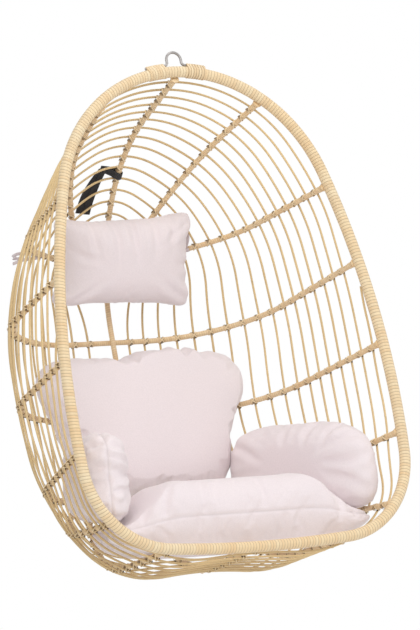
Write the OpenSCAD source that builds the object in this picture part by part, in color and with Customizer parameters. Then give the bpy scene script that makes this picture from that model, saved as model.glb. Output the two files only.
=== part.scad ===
// Hanging egg chair: wound rattan rim, inner ribs, outer canes lashed to them,
// bent hanging loop, webbing strap, head pillow and four seat cushions.
// Units are millimetres. The origin is the hook seat under the crown of the
// hanging loop; Z is up, the open front faces -Y.
// Inside the at_rest() frame x is sideways, y is depth behind the rim and z
// runs up the leaning rim plane from the middle of its bottom.

/* [Rim] */
// Rim height, bottom to top along the centre line
rim_height = 1080; // [900:10:1300]
// Rim width between centre lines at the widest point
rim_width = 810; // [700:5:900]
// Height of the widest point above the bottom
widest_at = 300; // [250:5:360]
// Radius of the top of the rim
top_radius = 340; // [310:5:370]
// Radius of the bottom corners of the rim
corner_radius = 196; // [150:2:220]
// Radius of the flat bottom of the rim
bottom_radius = 2900; // [2000:50:5000]
// How far the rim leans back from upright
rim_lean = 20.6; // [12:0.2:28]
// Rim pole thickness
rim_pole_diameter = 22; // [18:0.5:26]
// Thickness of the wound rim binding
binding_thickness = 1.2; // [0.8:0.1:2]

/* [Ribs and canes] */
// Rib thickness with its winding
rib_diameter = 12; // [9:0.5:14]
// Cane thickness
cane_diameter = 5.2; // [4:0.2:6]
// Gap left between parts that touch
fit_gap = 0.25; // [0.15:0.05:0.4]
// Spine: straight run behind the rim top
spine_run = 175; // [120:5:220]
// Spine: drop angle of that run
spine_drop = 13.5; // [8:0.5:18]
// Spine: bend radius of the back dome
dome_radius = 420; // [380:5:450]
// Spine: bend radius under the seat
seat_bend_radius = 290; // [250:5:320]
// Spine: rise angle of the run under the seat
seat_rise = 3.1; // [1:0.1:6]

/* [Hoops] */
// Height of the upper hoop on the rim
upper_hoop_at = 806; // [770:2:840]
// Height of the middle hoop on the rim
middle_hoop_at = 628; // [600:2:660]
// Height of the lower hoop on the rim
lower_hoop_at = 440; // [410:2:470]
// Height of the seat hoop on the rim
seat_hoop_at = 236; // [215:2:260]
// Bend radius of the upper hoop
upper_hoop_bend = 275; // [240:5:290]
// Bend radius of the middle hoop
middle_hoop_bend = 250; // [220:5:280]
// Bend radius of the lower hoop
lower_hoop_bend = 265; // [230:5:285]
// Bend radius of the seat hoop
seat_hoop_bend = 285; // [250:5:300]

/* [Lashings] */
// Thickness of a lashing turn
lashing_diameter = 1.4; // [1:0.1:1.8]
// Thickness of the windings round the rib ends
winding_thickness = 1.2; // [0.8:0.1:1.6]

/* [Hanging loop and strap] */
// Loop rod thickness
loop_rod_diameter = 6; // [5:0.5:8]
// Width of the loop between rod centres
loop_width = 36; // [30:1:44]
// Height of the loop crown above the rim centre line
loop_rise = 45; // [38:1:55]
// Length of each loop foot bound to the rim
loop_foot = 50; // [40:1:60]
// Strap webbing width
strap_width = 20; // [16:1:20]
// Width of the strap where it is folded round the spine
strap_fold = 11; // [8:1:11]
// Strap webbing thickness, two layers
strap_thickness = 2.4; // [1.6:0.2:3]

/* [Cushions] */
// Head pillow width
head_pillow_width = 350; // [300:2:356]
// Head pillow height
head_pillow_height = 212; // [180:2:218]
// Head pillow thickness
head_pillow_thickness = 126; // [90:2:140]
// Back cushion width
back_cushion_width = 516; // [440:2:518]
// Back cushion height
back_cushion_height = 384; // [340:2:388]
// Back cushion thickness
back_cushion_thickness = 130; // [100:2:140]
// Seat cushion width
seat_cushion_width = 630; // [560:2:640]
// Seat cushion depth
seat_cushion_depth = 350; // [310:2:356]
// Seat cushion thickness
seat_cushion_thickness = 160; // [120:2:162]
// Arm cushion length
arm_cushion_length = 392; // [330:2:396]
// Arm cushion height
arm_cushion_height = 208; // [170:2:210]
// Arm cushion thickness
arm_cushion_thickness = 114; // [90:2:118]
// Cover cloth thickness
cover_thickness = 1.5; // [1:0.1:2.5]

/* [Hidden] */
$fn = 48;
NC = 17;                                  // full canes
rr = rib_diameter/2;
cr = cane_diameter/2;
rim_r = rim_pole_diameter/2;
rim_out = rim_r + 0.2 + binding_thickness; // outside of the binding
seat_gap = rim_out + fit_gap;
cross = rr + cr + fit_gap;                // rib axis to cane axis
joint = 2*rr + fit_gap;                   // rib axis to rib axis
loop_r = loop_rod_diameter/2;
lashing_r = lashing_diameter/2;
turn_slack = 0.95;                        // room that a slanting turn leaves round the rib
turn_step = 2*lashing_r + 0.1;            // the second turn passes over the first
turns_in = rr + turn_slack + 2*lashing_r + turn_step;   // how far the turns stand in from a rib's axis
turns_out = turns_in + 2*cr + fit_gap;                  // and out from it
mount_z = rim_height + loop_rise - loop_r; // hook seat in the rim plane

// ---- vectors ----
function unit(a) = a/norm(a);
function flat2(a) = [a[0], 0, a[1]];

// ---- rim oval: top, side, corner and bottom arcs, all tangent ----
side_rise = rim_height - top_radius - widest_at;
side_radius = (pow(side_rise,2) + pow(rim_width/2,2) - pow(top_radius,2))/(rim_width - 2*top_radius);
side_c = [-(side_radius - rim_width/2), widest_at];
top_c = [0, rim_height - top_radius];
bottom_c = [0, bottom_radius];
cc_d = norm(bottom_c - side_c);
cc_a = (pow(side_radius-corner_radius,2) - pow(bottom_radius-corner_radius,2) + cc_d*cc_d)/(2*cc_d);
cc_h = sqrt(pow(side_radius-corner_radius,2) - cc_a*cc_a);
cc_e = (bottom_c - side_c)/cc_d;
corner_c = side_c + cc_a*cc_e + cc_h*[cc_e[1], -cc_e[0]];
ang_top = atan2(top_c[1]-side_c[1], top_c[0]-side_c[0]);      // top/side joint
ang_side = atan2(corner_c[1]-side_c[1], corner_c[0]-side_c[0]); // side/corner joint
ang_bottom = atan2(corner_c[1]-bottom_c[1], corner_c[0]-bottom_c[0]); // corner/bottom joint
function side_x(z) = sqrt(pow(side_radius,2) - pow(z-widest_at,2)) + side_c[0];
function on_arc(c, r, a) = c + r*[cos(a), sin(a)];

// ---- spine, in the plane x = 0, as [y, z] pairs ----
spine_top_off = 11;
top_y = spine_run*cos(spine_drop);
top_z = rim_height - spine_top_off - spine_run*sin(spine_drop);
dome_c = [top_y - dome_radius*sin(spine_drop), top_z - dome_radius*cos(spine_drop)];
back_y = dome_c[0] + dome_radius;
seat_run = (back_y - seat_bend_radius*(1 - sin(seat_rise)))/cos(seat_rise);
bend_c = [seat_run*cos(seat_rise) - seat_bend_radius*sin(seat_rise),
          seat_run*sin(seat_rise) + seat_bend_radius*cos(seat_rise)];
function outside_y(z, off) = z > dome_c[1] ? dome_c[0] + sqrt(pow(dome_radius+off,2) - pow(z-dome_c[1],2))
    : z < bend_c[1] ? bend_c[0] + sqrt(pow(seat_bend_radius+off,2) - pow(z-bend_c[1],2))
    : back_y + off;
function spine_top(s) = s < spine_run
    ? [[0, s*cos(spine_drop), rim_height-spine_top_off-s*sin(spine_drop)], [0, cos(spine_drop), -sin(spine_drop)]]
    : let(t = spine_drop + (s-spine_run)/dome_radius*180/PI)
      [[0, dome_c[0]+dome_radius*sin(t), dome_c[1]+dome_radius*cos(t)], [0, cos(t), -sin(t)]];
function spine_low(s) = s < seat_run
    ? [[0, s*cos(seat_rise), s*sin(seat_rise)], [0, cos(seat_rise), sin(seat_rise)]]
    : let(t = seat_rise + (s-seat_run)/seat_bend_radius*180/PI)
      [[0, bend_c[0]+seat_bend_radius*sin(t), bend_c[1]-seat_bend_radius*cos(t)], [0, cos(t), sin(t)]];

// ---- hoops: [rim height, tilt, side angle, bend radius, first cane, end margin, crowding, front cane] ----
HOOP = [[upper_hoop_at, 2.4, 10.6, upper_hoop_bend, 46, 56, 0.05, 0],
        [middle_hoop_at, 3.0, 6.6, middle_hoop_bend, 65, 52, 0, 0],
        [lower_hoop_at, 2.0, 8.2, lower_hoop_bend, 84, 57, 0.05, 43],
        [seat_hoop_at, 1.0, 13.0, seat_hoop_bend, 87, 55, 0, 50]];
hoop_off = 4;
function back_of(h, y, n) = n == 0 ? y : back_of(h, outside_y(h[0]-y*sin(h[1]), joint)/cos(h[1]), n-1);
function hoop_y(h) = back_of(h, back_y, 6);
function hoop_run(h) = (hoop_y(h) - h[3]*(1-sin(h[2])))/cos(h[2]);
function hoop_arc(h) = h[3]*(90-h[2])*PI/180;
function hoop_flat(h) = side_x(h[0]) - hoop_off - hoop_run(h)*sin(h[2]) - h[3]*cos(h[2]);
function hoop_len(h) = hoop_run(h) + hoop_arc(h) + hoop_flat(h);
// point and direction in the hoop plane, [inward, depth]
function hoop_2d(h, s) = let(L = hoop_run(h), a = h[2], R = h[3])
    s < L ? [[hoop_off+s*sin(a), s*cos(a)], [sin(a), cos(a)]]
    : s < L + hoop_arc(h) ? let(t = a + (s-L)/R*180/PI)
        [[hoop_off+L*sin(a)+R*(cos(a)-cos(t)), L*cos(a)+R*(sin(t)-sin(a))], [sin(t), cos(t)]]
    : [[hoop_off+L*sin(a)+R*cos(a)+s-L-hoop_arc(h), hoop_y(h)], [1, 0]];
function hoop_3d(h, q) = [[side_x(h[0])-q[0][0], q[0][1]*cos(h[1]), h[0]-q[0][1]*sin(h[1])],
                          [-q[1][0], q[1][1]*cos(h[1]), -q[1][1]*sin(h[1])]];
function hoop_at(h, s) = hoop_3d(h, hoop_2d(h, s));
// arc length where the hoop is x from the middle plane, on its bend or flat
function hoop_s(h, x) = let(q = side_x(h[0]) - x - hoop_off - hoop_run(h)*sin(h[2]))
    x < hoop_flat(h) ? hoop_len(h) - x
    : hoop_run(h) + h[3]*(acos(cos(h[2]) - q/h[3]) - h[2])*PI/180;

// ---- side ribs: [rim point, inward offset, run, angle, hoop, end x, side, first cane, crowding, canes, end margin, front cane] ----
shoulder_rim = on_arc(top_c, top_radius, 90-36.6);
corner_rim = on_arc(corner_c, corner_radius, atan2(75-corner_c[1], 352-corner_c[0]));
base_rim = [220, bottom_radius - sqrt(pow(bottom_radius,2)-220*220)];
SIDE = [[shoulder_rim, 7, 150, 14, HOOP[0], 60, 1, 40, 0.05, 16, 25, 0],
        [corner_rim, 2, 170, 11, HOOP[3], 187, -1, 66, 0.05, 11, 70, 38],
        [base_rim, 0, 200, 4, HOOP[3], 141, -1, 76, 0.05, 14, 46, 32]];
function end_of(m) = let(p = hoop_at(m[4], hoop_s(m[4], m[5]))[0],
    sl = m[6] > 0 ? (p[2]-dome_c[1])/(p[1]-dome_c[0]) : (bend_c[1]-p[2])/(p[1]-bend_c[0]))
    [p[0], p[1]-joint*sl, p[2]+m[6]*joint];
function inward(m) = let(e = end_of(m)) unit([e[0]-m[0][0], e[2]-m[0][1]]);
// start of the bend [inward, depth], bend radius, end angle
function side_bend(m) = let(e = end_of(m), n = norm([e[0]-m[0][0], e[2]-m[0][1]]),
    b = [m[1]+m[2]*sin(m[3]), m[2]*cos(m[3])], c = [n, e[1]] - b, d = atan2(c[0], c[1]) - m[3])
    [b, norm(c)/(2*sin(d)), m[3]+2*d];
function side_len(m) = let(b = side_bend(m)) m[2] + b[1]*(b[2]-m[3])*PI/180;
function side_at(m, s) = let(b = side_bend(m), i = inward(m), a = m[3],
    t = s < m[2] ? a : a + (s-m[2])/b[1]*180/PI,
    q = s < m[2] ? [m[1]+s*sin(a), s*cos(a)] : b[0] + b[1]*[cos(a)-cos(t), sin(t)-sin(a)])
    [[m[0][0]+q[0]*i[0], q[1], m[0][1]+q[0]*i[1]], [sin(t)*i[0], cos(t), sin(t)*i[1]]];

// ---- where cane k crosses each rib, as an arc length from the rim ----
// a few canes sit a little nearer the rim than even spacing puts them
function nudge(k) = k == 3 || k == 9 || k == 16 ? -0.9 : 0;
// how much fuller than the cane its joint balls are
function ball(k) = k == 0 || k == 3 || k == 7 || k == 9 || k == 16 ? 0.3 : 0.2;
function spaced(k, n, first, last, crowd) = let(t = (k-1)/(n-1)) first + (last-first)*t*(1+crowd*(1-t));
// ribs in the order a cane meets them: 0 spine top, 1 shoulder, 2-5 hoops, 6 corner, 7 base, 8 spine low
function meets(r, k) = k == 0 ? r > 3 : r == 1 ? k <= SIDE[0][9] : r == 6 ? k <= SIDE[1][9] : r == 7 ? k <= SIDE[2][9] : true;
function crossing_s(r, k) = nudge(k) + spaced_s(r, k);
function spaced_s(r, k) = r == 0 ? spaced(k, NC, 37, 518, 0.06)
    : r == 8 ? (k == 0 ? 32 : spaced(k, NC, 84, 535, 0.2))
    : r > 1 && r < 6 ? let(h = HOOP[r-2]) (k == 0 ? h[7] : spaced(k, NC, h[4], hoop_len(h)-h[5], h[6]))
    : let(m = SIDE[r == 1 ? 0 : r-5]) (k == 0 ? m[11] : spaced(k, m[9], m[7], side_len(m)-m[10], m[8]));
function rib_at(r, s) = r == 0 ? spine_top(s) : r == 8 ? spine_low(s)
    : r > 1 && r < 6 ? hoop_at(HOOP[r-2], s) : side_at(SIDE[r == 1 ? 0 : r-5], s);
function crossings(k) = [for (r = [0:8]) if (meets(r, k)) let(q = rib_at(r, crossing_s(r, k))) [r, q[0], q[1]]];
middle = [0, 150, 500];
front_start = [side_x(575) - 6, 14.5, 575];
function turn(a, b) = a/(a*a) + b/(b*b);
// each node: [cane centre, cane direction, rib, rib point, rib direction]
function cane_nodes(k) = let(c = crossings(k), n = len(c))
    concat(k == 0 ? [[front_start, unit(c[0][1]-front_start), -1, front_start, [0,0,1]]] : [],
    [for (i = [0:n-1])
        let(p = c[i][1], t = c[i][2],
            before = i > 0 ? c[i-1][1] : front_start,
            T = c[i][0] == 0 ? [1,0,0] : c[i][0] == 8 ? [-1,0,0] : unit(turn(p-before, c[i+1][1]-p)),
            m = unit(cross(T, t)), o = m*(p-middle) < 0 ? -m : m)
        [p + o*(rr+cr+fit_gap), T, c[i][0], p, t]]);

// ---- round rods ----
module frame(o, x, y) { z = cross(x, y); multmatrix([[x[0],y[0],z[0],o[0]], [x[1],y[1],z[1],o[1]], [x[2],y[2],z[2],o[2]], [0,0,0,1]]) children(); }
function any_side(t) = unit(cross(t, abs(t[0]) < 0.8 ? [1,0,0] : [0,1,0]));
// straight rod from a along direction t
module rod(a, t, l, r) { x = any_side(t); frame(a, x, cross(t, x)) cylinder(r = r, h = l); }
// ball that closes the joint between two runs of a rod
module knuckle(p, r, g = 0.2) { translate(p) sphere(r = r + g); }
module sleeve(c, t, l, r) { rod(c - t*l/2, t, l, r); }
// bent rod: starts at a heading t0, turns to t1 about radius R
module bend(a, t0, t1, R, r) {
    ca = min(1, max(-1, t0*t1));
    n = unit(t1 - t0*ca);
    frame(a + n*R, -n, t0) rotate_extrude(angle = acos(ca), $fn = 120) translate([R, 0]) circle(r);
}
// two tangent arcs from a (heading ta) to b (heading tb)
module biarc(a, ta, b, tb, r, g) {
    v = b - a; t = ta + tb; q = 2*(1 - ta*tb);
    d = q < 0.000001 ? (v*v)/(4*(v*ta)) : (-(v*t) + sqrt(pow(v*t,2) + q*(v*v)))/q;
    p = a + ta*d; s = b - tb*d; j = (p+s)/2; m = unit(s-p);
    bend(a, ta, m, d/tan(acos(min(1, ta*m))/2), r);
    bend(j, m, tb, d/tan(acos(min(1, m*tb))/2), r);
    knuckle(j, r, g);
}
module both() { children(); mirror([1,0,0]) children(); }
module at_rest() { rotate([-rim_lean,0,0]) translate([0,0,-mount_z]) children(); }
module cane_color() { color([0.89,0.76,0.53]) children(); }
module wrap_color() { color([0.93,0.83,0.62]) children(); }
module cloth_color() { color([0.93,0.88,0.89]) children(); }

// ---- rim ----
module oval_part(c, r, a0, a1) { translate([c[0], 0, c[1]]) rotate([90,0,0]) rotate([0,0,a0]) rotate_extrude(angle = a1-a0, $fn = 240) translate([r, 0]) children(); }
module oval_rod(r) {
    oval_part(top_c, top_radius, ang_top, 180-ang_top) circle(r);
    both() {
        oval_part(side_c, side_radius, ang_side, ang_top) circle(r);
        oval_part(corner_c, corner_radius, ang_bottom, ang_side) circle(r);
        for (p = [on_arc(side_c, side_radius, ang_top), on_arc(side_c, side_radius, ang_side), on_arc(corner_c, corner_radius, ang_bottom)])
            translate([p[0], 0, p[1]]) sphere(r = r + 0.06);
    }
    oval_part(bottom_c, bottom_radius, -180-ang_bottom, ang_bottom) circle(r);
}
module rim_pole() { cane_color() at_rest() oval_rod(rim_r); }
module rim_binding() { wrap_color() at_rest() difference() { oval_rod(rim_out); oval_rod(rim_r + 0.2); } }

// ---- ribs ----
// a straight stand-in for the bound rim at a rib end, to cope the rib to it
module rim_cut(p, c, r = seat_gap) { d = unit(p - c); sleeve([p[0],0,p[1]], [-d[1],0,d[0]], 90, r); }
module spine() {
    cane_color() at_rest() difference() {
        union() {
            a = spine_top(0); rod(a[0], a[1], spine_run, rr);
            b = spine_top(spine_run); bend(b[0], b[1], [0,0,-1], dome_radius, rr);
            rod([0,back_y,bend_c[1]], [0,0,1], dome_c[1]-bend_c[1], rr);
            c = spine_low(seat_run); bend(c[0], c[1], [0,0,1], seat_bend_radius, rr);
            d = spine_low(0); rod(d[0], d[1], seat_run, rr);
            for (p = [b[0], [0,back_y,dome_c[1]], [0,back_y,bend_c[1]], c[0]]) knuckle(p, rr);
        }
        rim_cut([0,rim_height], top_c);
        rim_cut([0,0], bottom_c);
    }
}
module hoop(h) {
    cane_color() at_rest() difference() {
        union() {
            both() {
                a = hoop_at(h, 0); rod(a[0], a[1], hoop_run(h), rr);
                b = hoop_at(h, hoop_run(h)); bend(b[0], b[1], [-1,0,0], h[3], rr);
                knuckle(b[0], rr);
                knuckle(hoop_at(h, hoop_run(h) + hoop_arc(h))[0], rr);
            }
            f = hoop_flat(h); p = hoop_at(h, hoop_len(h))[0];
            rod([-f, p[1], p[2]], [1,0,0], 2*f, rr);
        }
        both() rim_cut([side_x(h[0]), h[0]], side_c);
    }
}
module upper_hoop() { hoop(HOOP[0]); }
module middle_hoop() { hoop(HOOP[1]); }
module lower_hoop() { hoop(HOOP[2]); }
module seat_hoop() { hoop(HOOP[3]); }
module side_rib(m, c) {
    cane_color() at_rest() difference() {
        union() {
            a = side_at(m, 0); rod(a[0], a[1], m[2], rr);
            b = side_at(m, m[2]); e = side_at(m, side_len(m));
            bend(b[0], b[1], e[1], side_bend(m)[1], rr);
            knuckle(b[0], rr);
        }
        rim_cut(m[0], c);
        h = hoop_at(m[4], hoop_s(m[4], m[5])); sleeve(h[0], h[1], 60, rr + fit_gap);
    }
}
module shoulder_rib_right() { side_rib(SIDE[0], top_c); }
module shoulder_rib_left() { lefthand() side_rib(SIDE[0], top_c); }
module corner_rib_right() { side_rib(SIDE[1], corner_c); }
module corner_rib_left() { lefthand() side_rib(SIDE[1], corner_c); }
module base_rib_right() { side_rib(SIDE[2], bottom_c); }
module base_rib_left() { lefthand() side_rib(SIDE[2], bottom_c); }
module lefthand() { mirror([1,0,0]) children(); }

// ---- canes ----
module cane(k) {
    n = cane_nodes(k);
    cane_color() at_rest() {
        both() for (i = [0:len(n)-2]) {
            biarc(n[i][0], n[i][1], n[i+1][0], n[i+1][1], cr, ball(k));
            if (i > 0) knuckle(n[i][0], cr, ball(k));
        }
        for (i = [0, len(n)-1]) if (n[i][2] >= 0) knuckle(n[i][0], cr, ball(k));
    }
}

// ---- lashings: two binding turns crossing over each rib and cane, one over the other ----
turn_r = rr + cr + fit_gap/2 + turn_slack + lashing_r;
module turn_ring(n, side, grow) {
    out = unit(n[0] - n[3]);
    d = unit(n[4] + side*cross(out, n[4]));
    if (abs(n[1]*d) < 0.9)
        frame(n[3] + out*(cr + fit_gap/2), out, d)
            rotate_extrude($fn = 24) translate([turn_r + grow, 0]) circle(lashing_r, $fn = 14);
}
module lashing(n) { turn_ring(n, 1, 0); turn_ring(n, -1, turn_step); }
module lashings(r) {
    wrap_color() at_rest() for (k = [0:NC]) for (n = cane_nodes(k)) if (n[2] == r)
        if (r == 0 || r == 8) lashing(n); else both() lashing(n);
}
module spine_lashings() { lashings(0); lashings(8); }
module shoulder_lashings() { lashings(1); }
module upper_hoop_lashings() { lashings(2); }
module middle_hoop_lashings() { lashings(3); }
module lower_hoop_lashings() { lashings(4); }
module seat_hoop_lashings() { lashings(5); }
module corner_lashings() { lashings(6); }
module base_lashings() { lashings(7); }

// ---- windings where the ribs meet the rim ----
module end_winding(q, p, c) {
    difference() {
        rod(q[0] + q[1]*8, q[1], 14, rr + fit_gap + winding_thickness);
        sleeve(q[0], q[1], 120, rr + fit_gap);
        rim_cut(p, c);
    }
}
module rib_end_windings() {
    wrap_color() at_rest() {
        end_winding(spine_top(0), [0,rim_height], top_c);
        end_winding(spine_low(0), [0,0], bottom_c);
        both() {
            for (h = HOOP) end_winding(hoop_at(h, 0), [side_x(h[0]), h[0]], side_c);
            end_winding(side_at(SIDE[0], 0), shoulder_rim, top_c);
            end_winding(side_at(SIDE[1], 0), corner_rim, corner_c);
            end_winding(side_at(SIDE[2], 0), base_rim, bottom_c);
        }
    }
}

// ---- hanging loop ----
foot_r = top_radius + rim_out + fit_gap + loop_r;   // foot centre line about the top arc centre
foot_bend = 8;
foot_c = [loop_width/2 + foot_bend, top_c[1] + sqrt(pow(foot_r+foot_bend,2) - pow(loop_width/2+foot_bend,2))];
foot_a = atan2(foot_c[1]-top_c[1], foot_c[0]);
arch_z = rim_height + loop_rise - loop_width/2;
foot_sweep = loop_foot/foot_r*180/PI;
module hanging_loop() {
    color([0.55,0.56,0.58]) at_rest() {
        bend([loop_width/2,0,arch_z], [0,0,1], [0,0,-1]+[-0.000001,0,0], loop_width/2, loop_r);
        both() {
            rod([loop_width/2,0,foot_c[1]], [0,0,1], arch_z-foot_c[1], loop_r);
            bend([loop_width/2,0,foot_c[1]], [0,0,-1], [sin(foot_a),0,-cos(foot_a)], foot_bend, loop_r);
            oval_part(top_c, foot_r, foot_a-foot_sweep, foot_a) circle(loop_r);
            knuckle([loop_width/2,0,arch_z], loop_r);
            knuckle([loop_width/2,0,foot_c[1]], loop_r);
            knuckle([foot_r*cos(foot_a),0,top_c[1]+foot_r*sin(foot_a)], loop_r);
        }
    }
}
// section round the rim and a loop foot, radii grown by g
module foot_section(g) {
    R = rim_out + g; r = loop_r + g; d = foot_r - top_radius; a = acos((R-r)/d);
    circle(R); translate([d,0]) circle(r);
    polygon([[R*cos(a),R*sin(a)], [d+r*cos(a),r*sin(a)], [d+r*cos(a),-r*sin(a)], [R*cos(a),-R*sin(a)]]);
}
module loop_windings() {
    wrap_color() at_rest() both() oval_part(top_c, top_radius, foot_a-foot_sweep+0.4, foot_a-0.6)
        difference() { foot_section(fit_gap + binding_thickness); foot_section(fit_gap); }
}

// ---- safety strap: round the spine, then down the outside of the canes ----
module safety_strap() {
    t = spine_drop + (crossing_s(0,11)/2 + crossing_s(0,12)/2 - spine_run)/dome_radius*180/PI;
    gap_out = turns_out + 1;
    color([0.16,0.16,0.17]) at_rest() translate([0, dome_c[0], dome_c[1]]) rotate([-t,0,0]) {
        translate([0,0,dome_radius]) difference() {
            union() {
                rotate([90,0,0]) cylinder(r = rr + fit_gap + strap_thickness, h = strap_fold, center = true);
                translate([-4,-strap_fold/2,rr]) cube([8, strap_fold, gap_out - rr + strap_thickness/2]);
            }
            rotate([90,0,0]) cylinder(r = rr + fit_gap, h = 60, center = true);
        }
        // tail: an arc band over the canes, heading down and to the left
        rotate([0,0,-32]) translate([0,-8,0]) rotate([0,0,90]) rotate([90,0,0]) rotate([0,0,90]) mirror([0,1,0])
            rotate_extrude(angle = 15, $fn = 240) translate([dome_radius + gap_out, -strap_width/2]) square([strap_thickness, strap_width]);
    }
}

// ---- head pillow ties: a knotted ribbon round the upper hoop on each side ----
tie_at = 186;                             // distance of a knot from the middle plane
tie_width = 9;
tie_cloth = 0.8;
tie_tail = 44;
module pillow_ties() {
    h = HOOP[0];
    q = hoop_at(h, hoop_s(h, tie_at));
    in_depth = unit(cross(q[1], [0,0,1]));
    cloth_color() at_rest() both() {
        difference() {
            sleeve(q[0], q[1], tie_width, rr + fit_gap + tie_cloth);
            sleeve(q[0], q[1], 60, rr + fit_gap);
        }
        for (i = [-1, 1]) frame(q[0], q[1], in_depth)
            translate([i*tie_width/4, -rr - fit_gap, 0]) rotate([0, i*8, 0])
                translate([-tie_width/4, -tie_cloth, -tie_tail]) cube([tie_width/2, tie_cloth, tie_tail]);
    }
}

// ---- cushions: crowned pads with drawn-in sides ----
pad_turns = 20;                           // points round a pad
pad_rings = 8;                            // steps from its underside to its crown
function bent_power(x, e) = sign(x)*pow(abs(x), e);
function smooth(t) = let(u = min(1, max(0, t))) u*u*(3 - 2*u);
// narrower towards +y by the share k
function taper(p, s, k) = [p[0]*(1 - k*p[1]/(s[1]/2)), p[1], p[2]];
// crown pressed down towards the ends in x, where other cushions stand on it
function pressed(p, s) = p[2] < 0 ? p : [p[0], p[1], p[2]*(1 - 0.9*smooth((abs(p[0])/(s[0]/2) - 0.4)/0.45))];
// size, squareness of the outline, squareness of the edge, draw of the sides, taper, pressed ends
head_form = [[head_pillow_width, head_pillow_height, head_pillow_thickness], 0.3, 0.6, 0.09, 0, false];
back_form = [[back_cushion_width, back_cushion_height, back_cushion_thickness], 0.6, 0.45, 0.05, 0.17, false];
seat_form = [[seat_cushion_width, seat_cushion_depth, seat_cushion_thickness], 0.5, 0.45, 0.05, 0.16, true];
arm_form = [[arm_cushion_length, arm_cushion_height, arm_cushion_thickness], 0.9, 0.45, 0.05, 0, false];
function pad_point(f, s, turn, rise) = let(
    k = 1 - f[3]*pow(cos(2*turn), 2)*pow(cos(rise), 0.3),
    p = [s[0]/2*bent_power(cos(turn), f[1])*pow(cos(rise), f[2])*k,
         s[1]/2*bent_power(sin(turn), f[1])*pow(cos(rise), f[2])*k,
         s[2]/2*sin(rise)])
    taper(f[5] ? pressed(p, s) : p, s, f[4]);
function pad_points(f, s) = concat([[0, 0, -s[2]/2]],
    [for (j = [1:pad_rings-1]) for (i = [0:pad_turns-1]) pad_point(f, s, 360*(i+0.5)/pad_turns, 180*j/pad_rings - 90)],
    [[0, 0, s[2]/2]]);
function pad_faces() = let(n = pad_turns, last = 1 + (pad_rings-2)*n) concat(
    [for (i = [0:n-1]) [0, 1+i, 1+(i+1)%n]],
    [for (j = [0:pad_rings-3]) for (i = [0:n-1]) let(a = 1+j*n, b = a+n, k = (i+1)%n)
        each [[a+i, b+i, a+k], [a+k, b+i, b+k]]],
    [for (i = [0:n-1]) [last+(i+1)%n, last+i, last+n]]);
// a pad of form f, smaller all round by inset
module pad(f, inset = 0) { polyhedron(points = pad_points(f, [for (v = f[0]) v - 2*inset]), faces = pad_faces(), convexity = 6); }
module cover(f) { cloth_color() difference() { pad(f); pad(f, cover_thickness); } }
module filling(f) { color([1,1,1]) pad(f, cover_thickness + 0.5); }

// places, each turned so that the pad's z is its thickness
head_tilt = 66;                           // the pillow lies against the dome this far round it
head_clear = 5.6;                         // its flat back bridges the curve of the dome
back_tilt = 3;
back_clear = 4.3;
back_height = 382;
seat_tilt = 10;
seat_height = 108.7;
arm_tilt = 12;
arm_turn = 19;
arm_place = [269, 196, 218.8];
module at_head() {
    at_rest() translate([0, dome_c[0], dome_c[1]]) rotate([-head_tilt,0,0])
        translate([0, 0, dome_radius - turns_in - head_clear - head_pillow_thickness/2]) children();
}
module at_back() {
    at_rest() translate([3, back_y - turns_in - back_clear - back_cushion_thickness/2, back_height])
        rotate([-90-back_tilt,0,0]) children();
}
module at_seat() { at_rest() translate([0, seat_cushion_depth/2 - 5, seat_height]) rotate([seat_tilt,0,0]) children(); }
module at_arm() {
    at_rest() translate(arm_place) rotate([arm_tilt,0,0]) rotate([0,0,arm_turn]) rotate([0,90,0]) rotate([0,0,90]) children();
}
module head_pillow_cover() { at_head() cover(head_form); }
module head_pillow_filling() { at_head() filling(head_form); }
module back_cushion_cover() { at_back() cover(back_form); }
module back_cushion_filling() { at_back() filling(back_form); }
module seat_cushion_cover() { at_seat() cover(seat_form); }
module seat_cushion_filling() { at_seat() filling(seat_form); }
module arm_cushion_cover_right() { at_arm() cover(arm_form); }
module arm_cushion_filling_right() { at_arm() filling(arm_form); }
module arm_cushion_cover_left() { lefthand() arm_cushion_cover_right(); }
module arm_cushion_filling_left() { lefthand() arm_cushion_filling_right(); }

rim_pole();
rim_binding();
spine();
upper_hoop();
middle_hoop();
lower_hoop();
seat_hoop();
shoulder_rib_right();
shoulder_rib_left();
corner_rib_right();
corner_rib_left();
base_rib_right();
base_rib_left();
cane(0);  // front_cane
cane(1);  // cane_01
cane(2);  // cane_02
cane(3);  // cane_03
cane(4);  // cane_04
cane(5);  // cane_05
cane(6);  // cane_06
cane(7);  // cane_07
cane(8);  // cane_08
cane(9);  // cane_09
cane(10);  // cane_10
cane(11);  // cane_11
cane(12);  // cane_12
cane(13);  // cane_13
cane(14);  // cane_14
cane(15);  // cane_15
cane(16);  // cane_16
cane(17);  // cane_17
spine_lashings();
shoulder_lashings();
upper_hoop_lashings();
middle_hoop_lashings();
lower_hoop_lashings();
seat_hoop_lashings();
corner_lashings();
base_lashings();
rib_end_windings();
hanging_loop();
loop_windings();
safety_strap();
pillow_ties();
head_pillow_cover();
head_pillow_filling();
back_cushion_cover();
back_cushion_filling();
seat_cushion_cover();
seat_cushion_filling();
arm_cushion_cover_right();
arm_cushion_filling_right();
arm_cushion_cover_left();
arm_cushion_filling_left();
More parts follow.
